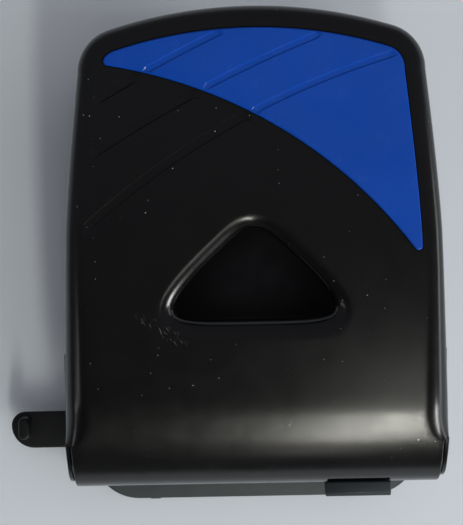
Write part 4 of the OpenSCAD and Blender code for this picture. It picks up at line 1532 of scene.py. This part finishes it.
@dataclass
class ScrewSet:
    """Cross-head screws that hold the frame under the plate. Sizes are in millimetres."""

    places: tuple[tuple[float, float], ...] = ((-20.0, -23.8), (20.0, -23.8), (-25.0, 87.0), (25.0, 87.0))
    seat: float = 7.3
    tip: float = 10.8
    radius: float = 1.25
    head_radius: float = 2.5
    head: float = 1.6
    recess: float = 1.0
    recess_width: float = 0.6
    recess_length: float = 2.6

    def build(self) -> bpy.types.Object:
        """Cut a cross into a domed head, add the shank and repeat them.

        Returns:
            All the screws as one mesh.
        """
        tree = PatternTree("cross_screws", Radius=self.radius, Shank=self.tip - self.seat,
                           HeadRadius=self.head_radius, Head=self.head, Recess=self.recess,
                           RecessWidth=self.recess_width, RecessLength=self.recess_length)
        head = tree.moved(tree.dome(tree.size("HeadRadius"), tree.size("Head")), Rotation=(math.pi, 0.0, 0.0))
        depth = tree.math("MULTIPLY", tree.size("Recess"), 2.0)
        bar = tree.node("GeometryNodeMeshCube",
                        {"Size": tree.vector(tree.size("RecessLength"), tree.size("RecessWidth"), depth)})
        low = tree.vector(z=tree.math("MULTIPLY", tree.size("Head"), -1.0))
        bars = [tree.moved(bar, Translation=low, Rotation=(0.0, 0.0, turn)) for turn in (0.0, math.pi / 2)]
        cut = tree.node("GeometryNodeMeshBoolean", {"Mesh 1": head, "Mesh 2": bars}, operation="DIFFERENCE")
        shank = tree.rod(tree.size("Radius"), tree.size("Shank"))
        up = tree.vector(z=tree.math("MULTIPLY", tree.size("Shank"), 0.5))
        screw = tree.node("GeometryNodeJoinGeometry", {0: [cut, tree.moved(shank, Translation=up)]})
        return tree.made("cross_screws", [(*place, self.seat) for place in self.places], screw, ZINC_RIVET)

    def dress(self, made: bpy.types.Object) -> bpy.types.Object:
        """Let the screws stand for their node."""
        return dressed(made, ZINC_RIVET, Body.BASE, "zinc_steel", "frame_screws")


@dataclass
class FootSet:
    """Round rubber feet with a softened rim. Sizes are in millimetres."""

    places: tuple[tuple[float, float], ...] = ((-38.0, -27.9), (38.0, -27.9), (-37.0, 85.5), (37.0, 85.5))
    radius: float = 4.5
    height: float = 1.8
    rim: float = 0.45

    def build(self) -> bpy.types.Object:
        """Round a finely divided disc and repeat it.

        Returns:
            All the feet as one mesh.
        """
        tree = PatternTree("rubber_feet", Radius=self.radius, Height=self.height, Rim=self.rim)
        radius, rim = tree.size("Radius"), tree.size("Rim")
        disc = tree.node("GeometryNodeMeshCylinder", {
            "Vertices": 48, "Side Segments": 14, "Fill Segments": 26, "Radius": radius,
            "Depth": tree.size("Height")})
        place = tree.node("GeometryNodeInputPosition")
        split = tree.node("ShaderNodeSeparateXYZ", {0: place}).node.outputs
        flat = tree.vector(split["X"], split["Y"])
        reach = tree.node("ShaderNodeVectorMath", {0: flat}, operation="LENGTH").node.outputs["Value"]
        core_reach = tree.math("MINIMUM", reach, tree.math("SUBTRACT", radius, rim))
        inner = tree.math("SUBTRACT", tree.math("MULTIPLY", tree.size("Height"), 0.5), rim)
        lowered = tree.math("MINIMUM", split["Z"], inner)
        level = tree.math("MAXIMUM", lowered, tree.math("MULTIPLY", inner, -1.0))
        share = tree.math("DIVIDE", core_reach, reach)
        x, y = (tree.math("MULTIPLY", split[axis], share) for axis in "XY")
        core = tree.vector(x, y, level)
        out = tree.node("ShaderNodeVectorMath", {0: place, 1: core}, operation="SUBTRACT")
        unit = tree.node("ShaderNodeVectorMath", {0: out}, operation="NORMALIZE")
        skin = tree.node("ShaderNodeVectorMath", {0: unit, 3: rim}, operation="SCALE")
        rounded = tree.node("ShaderNodeVectorMath", {0: core, 1: skin}, operation="ADD")
        foot = tree.node("GeometryNodeSetPosition", {"Geometry": disc, "Position": rounded})
        middle = self.height / 2
        return tree.made("rubber_feet_set", [(*place, middle) for place in self.places], foot, RUBBER)

    def dress(self, made: bpy.types.Object) -> bpy.types.Object:
        """Let the feet stand for their node."""
        return dressed(made, RUBBER, Body.BASE, "rubber", "rubber_feet")


@dataclass
class ReturnSpring:
    """A compression spring round a punch pin. Sizes are in millimetres."""

    side: Side
    pin_x: float = 40.0
    low: float = 32.3
    high: float = 45.79
    coil_radius: float = 4.4
    wire_radius: float = 0.5
    turns: float = 6.6
    end_turns: float = 0.8
    stroke: float = 5.99

    def build(self) -> bpy.types.Object:
        """Sweep the wire along a spiral whose end turns lie close.

        Returns:
            The spring.
        """
        tree = PatternTree(f"{self.side.name.lower()}_coil", Coil=self.coil_radius, Wire=self.wire_radius,
                           Turns=self.turns, Rise=self.high - self.low - 2 * self.wire_radius)
        coil, rise = tree.size("Coil"), tree.size("Rise")
        spiral = tree.node("GeometryNodeCurveSpiral", {
            "Resolution": 32, "Rotations": tree.size("Turns"), "Start Radius": coil, "End Radius": coil,
            "Height": rise})
        along = tree.node("GeometryNodeSplineParameter").node.outputs["Factor"]
        close = self.end_turns / self.turns
        end = self.end_turns * 2 * self.wire_radius / (self.high - self.low)
        climb = tree.node("ShaderNodeFloatCurve", {"Value": along})
        line = climb.node.mapping.curves[0]
        for x, y in ((close, end), (1 - close, 1 - end)):
            line.points.new(x, y)
        for point in line.points:
            point.handle_type = "VECTOR"
        climb.node.mapping.update()
        split = tree.position()
        spot = tree.vector(split["X"], split["Y"], tree.math("MULTIPLY", climb, rise))
        wound = tree.node("GeometryNodeSetPosition", {"Geometry": spiral, "Position": spot})
        wire = tree.node("GeometryNodeCurvePrimitiveCircle", {"Resolution": 14, "Radius": tree.size("Wire")})
        swept = tree.node("GeometryNodeCurveToMesh",
                          {"Curve": wound, "Profile Curve": wire, "Fill Caps": True})
        foot = (self.side.value * self.pin_x, 0.0, self.low + self.wire_radius)
        return tree.made(f"{self.side.name.lower()}_coil_spring", [foot], swept, SPRING_STEEL)

    def dress(self, made: bpy.types.Object) -> bpy.types.Object:
        """Finish the spring and give it a mesh of its own.

        Args:
            made: the spring.

        Returns:
            The spring.
        """
        dressed(made, SPRING_STEEL, Body.BASE, "spring_steel", f"{self.side.name.lower()}_return_spring")
        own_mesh(made)
        return made


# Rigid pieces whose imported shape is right: a copy with its edges eased


@dataclass(frozen=True)
class EasedPiece:
    """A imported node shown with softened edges."""

    node: str
    body: Body
    finish: Finish
    slot: str
    ease_mm: float = 0.2
    segments: int = 2
    weld: float = 1e-6
    flat: float = math.radians(0.5)
    sharp: float = math.radians(40)

    def build(self) -> bpy.types.Object:
        """Copy the node's mesh, join its loose triangles and bevel its sharp edges.

        Returns:
            The eased copy.
        """
        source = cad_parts[self.node].data
        joined = bmesh.new()
        joined.from_mesh(source)
        bmesh.ops.remove_doubles(joined, verts=joined.verts, dist=self.weld)
        bmesh.ops.dissolve_limit(joined, angle_limit=self.flat, verts=joined.verts, edges=joined.edges)
        name = f"eased_{self.node}"
        mesh = bpy.data.meshes.new(name)
        joined.to_mesh(mesh)
        joined.free()
        made = linked(name, mesh)
        bevel = made.modifiers.new("ease", "BEVEL")
        bevel.width = self.ease_mm * MM
        bevel.segments = self.segments
        bevel.limit_method = "ANGLE"
        bevel.angle_limit = self.sharp
        bevel.use_clamp_overlap = True
        bevel.miter_outer = "MITER_ARC"
        return finished(name, applied(made), EASED_SHARP_DEG)

    def dress(self, made: bpy.types.Object) -> bpy.types.Object:
        """Finish the copy and let it stand for its node."""
        return dressed(made, self.finish, self.body, self.slot, self.node)


EASED = (
    EasedPiece("base_frame", Body.BASE, SLATE_PLASTIC, "slate_plastic", 0.6, 3),
    EasedPiece("chip_tray", Body.TRAY, TRAY_PLASTIC, "tray_plastic", 0.35),
    # The base plate's finish is black paint darkened as painted shade inside the handle.
    EasedPiece("base_plate", Body.BASE, PLATE_PAINT_AND_SHADE, "black_paint", 0.3),
    EasedPiece("lock_slider", Body.LOCK, LOCK_PLASTIC, "black_plastic", 0.25),
    EasedPiece("left_bracket", Body.BASE, ZINC_SHEET, "bracket_steel", 0.2),
    EasedPiece("right_bracket", Body.BASE, ZINC_SHEET, "bracket_steel", 0.2),
    EasedPiece("hinge_axle", Body.BASE, GROUND_STEEL, "tool_steel", 0.1),
    EasedPiece("left_punch_pin", Body.LEFT_PIN, GROUND_STEEL, "tool_steel", 0.1),
    EasedPiece("right_punch_pin", Body.RIGHT_PIN, GROUND_STEEL, "tool_steel", 0.1),
    EasedPiece("left_die", Body.BASE, GROUND_STEEL, "tool_steel", 0.1),
    EasedPiece("right_die", Body.BASE, GROUND_STEEL, "tool_steel", 0.1),
    EasedPiece("guide_channel", Body.BASE, ZINC_SHEET, "zinc_steel", 0.15),
    EasedPiece("left_spring_washer", Body.BASE, ZINC_RIVET, "zinc_steel", 0.1),
    EasedPiece("right_spring_washer", Body.BASE, ZINC_RIVET, "zinc_steel", 0.1),
    EasedPiece("left_spring_clip", Body.LEFT_PIN, SPRING_STEEL, "spring_steel", 0.08),
    EasedPiece("right_spring_clip", Body.RIGHT_PIN, SPRING_STEEL, "spring_steel", 0.08),
    EasedPiece("axle_clips", Body.BASE, SPRING_STEEL, "spring_steel", 0.08),
)


# Stage


@dataclass(frozen=True)
class Lamp:
    """A soft rectangular lamp. Lengths are in metres and the power is in watts."""

    name: str
    at: tuple[float, float, float]
    aim: tuple[float, float, float]
    size: tuple[float, float]
    power: float
    colour: tuple[float, float, float] = (1.0, 1.0, 1.0)
    in_gloss: bool = True

    def build(self) -> bpy.types.Object:
        """Hang the lamp.

        Returns:
            The lamp.
        """
        light = bpy.data.lights.new(self.name, "AREA")
        light.shape = "RECTANGLE"
        light.size, light.size_y = self.size
        light.energy = self.power
        light.color = self.colour
        made = linked(self.name, light)
        made.location = self.at
        made.rotation_euler = (Vector(self.aim) - Vector(self.at)).to_track_quat("-Z", "Y").to_euler()
        made.visible_glossy = self.in_gloss
        return made


LAMPS = (
    Lamp("window_right_front", at=(1.0, -0.727, 0.402), aim=(0.0, 0.0, 0.0), size=(0.41, 0.41), power=11.6),
    Lamp("window_right", at=(1.20, -0.20, 0.13), aim=(0.0, -0.20, 0.13), size=(0.60, 0.22), power=1.5),
    Lamp("window_left", at=(-1.0, -0.42, 0.70), aim=(0.0, -0.42, 0.70), size=(0.10, 0.80), power=0.75),
    Lamp("strip_in_front", at=(0.17, -0.965, 0.80), aim=(0.17, -0.965, 0.0), size=(0.08, 0.77), power=6.0,
         colour=(1.0, 1.0, 0.90)),
    Lamp("glow_in_front", at=(0.17, -1.45, 0.81), aim=(0.17, -1.45, 0.0), size=(0.10, 2.30), power=3.0,
         colour=(1.0, 1.0, 0.92)),
    Lamp("fill_overhead", at=(0.75, -0.10, 1.30), aim=(0.75, -0.10, 0.0), size=(1.80, 1.80), power=12.6,
         colour=(1.0, 0.97, 0.94), in_gloss=False),
)


@dataclass
class Studio:
    """Floor, room and camera. Lengths are in metres."""

    floor_size: float = 4.0
    floor_colour: tuple[float, float, float] = (0.53, 0.57, 0.62)
    floor_mottle: float = 0.015
    floor_mottle_mm: float = 60.0
    floor_roughness: float = 0.9
    room_front: tuple[float, float, float] = (0.055, 0.055, 0.058)
    room_rear: tuple[float, float, float] = (0.19, 0.195, 0.22)
    room_turn: tuple[float, float] = (-0.40, -0.05)
    camera_at: tuple[float, float, float] = (-0.0061, 0.03457, 0.400)
    camera_roll: float = math.radians(-1.05)
    focal_px: float = 1313.0
    frame_height_px: float = 525.0
    sensor: float = 36.0

    def floor(self) -> bpy.types.Object:
        """A plain pale floor under the object.

        Returns:
            The floor.
        """
        half = self.floor_size / 2 / MM
        corners = np.array([[-half, -half, 0], [half, -half, 0], [half, half, 0], [-half, half, 0]])
        made = mesh_object("pale_floor", corners, [(0, 1, 2, 3)])
        tree = FinishTree("pale_floor")
        blotch = tree.range(tree.noise(self.floor_mottle_mm, 4.0), *NOISE_SPAN, 0.0, 1.0)
        low, high = (tinted(self.floor_colour, 1 + part) for part in (-self.floor_mottle, self.floor_mottle))
        tree.feed(tree.blend(blotch, low, high), tree.shader.inputs["Base Color"])
        tree.shader.inputs["Roughness"].default_value = self.floor_roughness
        made.data.materials.append(tree.material)
        return made

    def world(self) -> None:
        """A dim room, darker in front than behind."""
        world = bpy.data.worlds.new("studio_room")
        world.use_nodes = True
        bpy.context.scene.world = world
        tree = world.node_tree
        place = tree.nodes.new("ShaderNodeTexCoord")
        split = tree.nodes.new("ShaderNodeSeparateXYZ")
        share = tree.nodes.new("ShaderNodeMapRange")
        ramp = tree.nodes.new("ShaderNodeValToRGB")
        share.inputs["From Min"].default_value, share.inputs["From Max"].default_value = self.room_turn
        tree.links.new(place.outputs["Generated"], split.inputs["Vector"])
        tree.links.new(split.outputs["Y"], share.inputs["Value"])
        tree.links.new(share.outputs["Result"], ramp.inputs["Fac"])
        for stop, colour in zip(ramp.color_ramp.elements, (self.room_front, self.room_rear)):
            stop.color = (*colour, 1.0)
        tree.links.new(ramp.outputs["Color"], tree.nodes["Background"].inputs["Color"])

    def camera(self) -> bpy.types.Object:
        """A camera that looks straight down, as the photograph does.

        Returns:
            The camera.
        """
        data = bpy.data.cameras.new("camera")
        data.sensor_fit = "VERTICAL"
        data.sensor_height = self.sensor
        data.lens = self.focal_px / self.frame_height_px * self.sensor
        made = linked("camera", data)
        made.location = self.camera_at
        made.rotation_euler = Euler((0.0, 0.0, self.camera_roll))
        bpy.context.scene.camera = made
        return made

    def build(self) -> None:
        """Set up the whole stage."""
        bpy.context.scene.view_settings.view_transform = "Standard"
        self.floor()
        self.world()
        for lamp in LAMPS:
            lamp.build()
        self.camera()


def main() -> None:
    """Build every sub-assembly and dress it."""
    logging.basicConfig(level=logging.INFO, format="%(name)s: %(message)s")
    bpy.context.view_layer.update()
    Studio().build()
    springs = [ReturnSpring(side) for side in Side]
    pieces = [HandleShell(), InlayPlate(), PaperGuide(), *springs, RivetSet(), ScrewSet(), FootSet(), *EASED]
    for piece in pieces:
        piece.dress(piece.build())


if __name__ == "__main__":
    main()
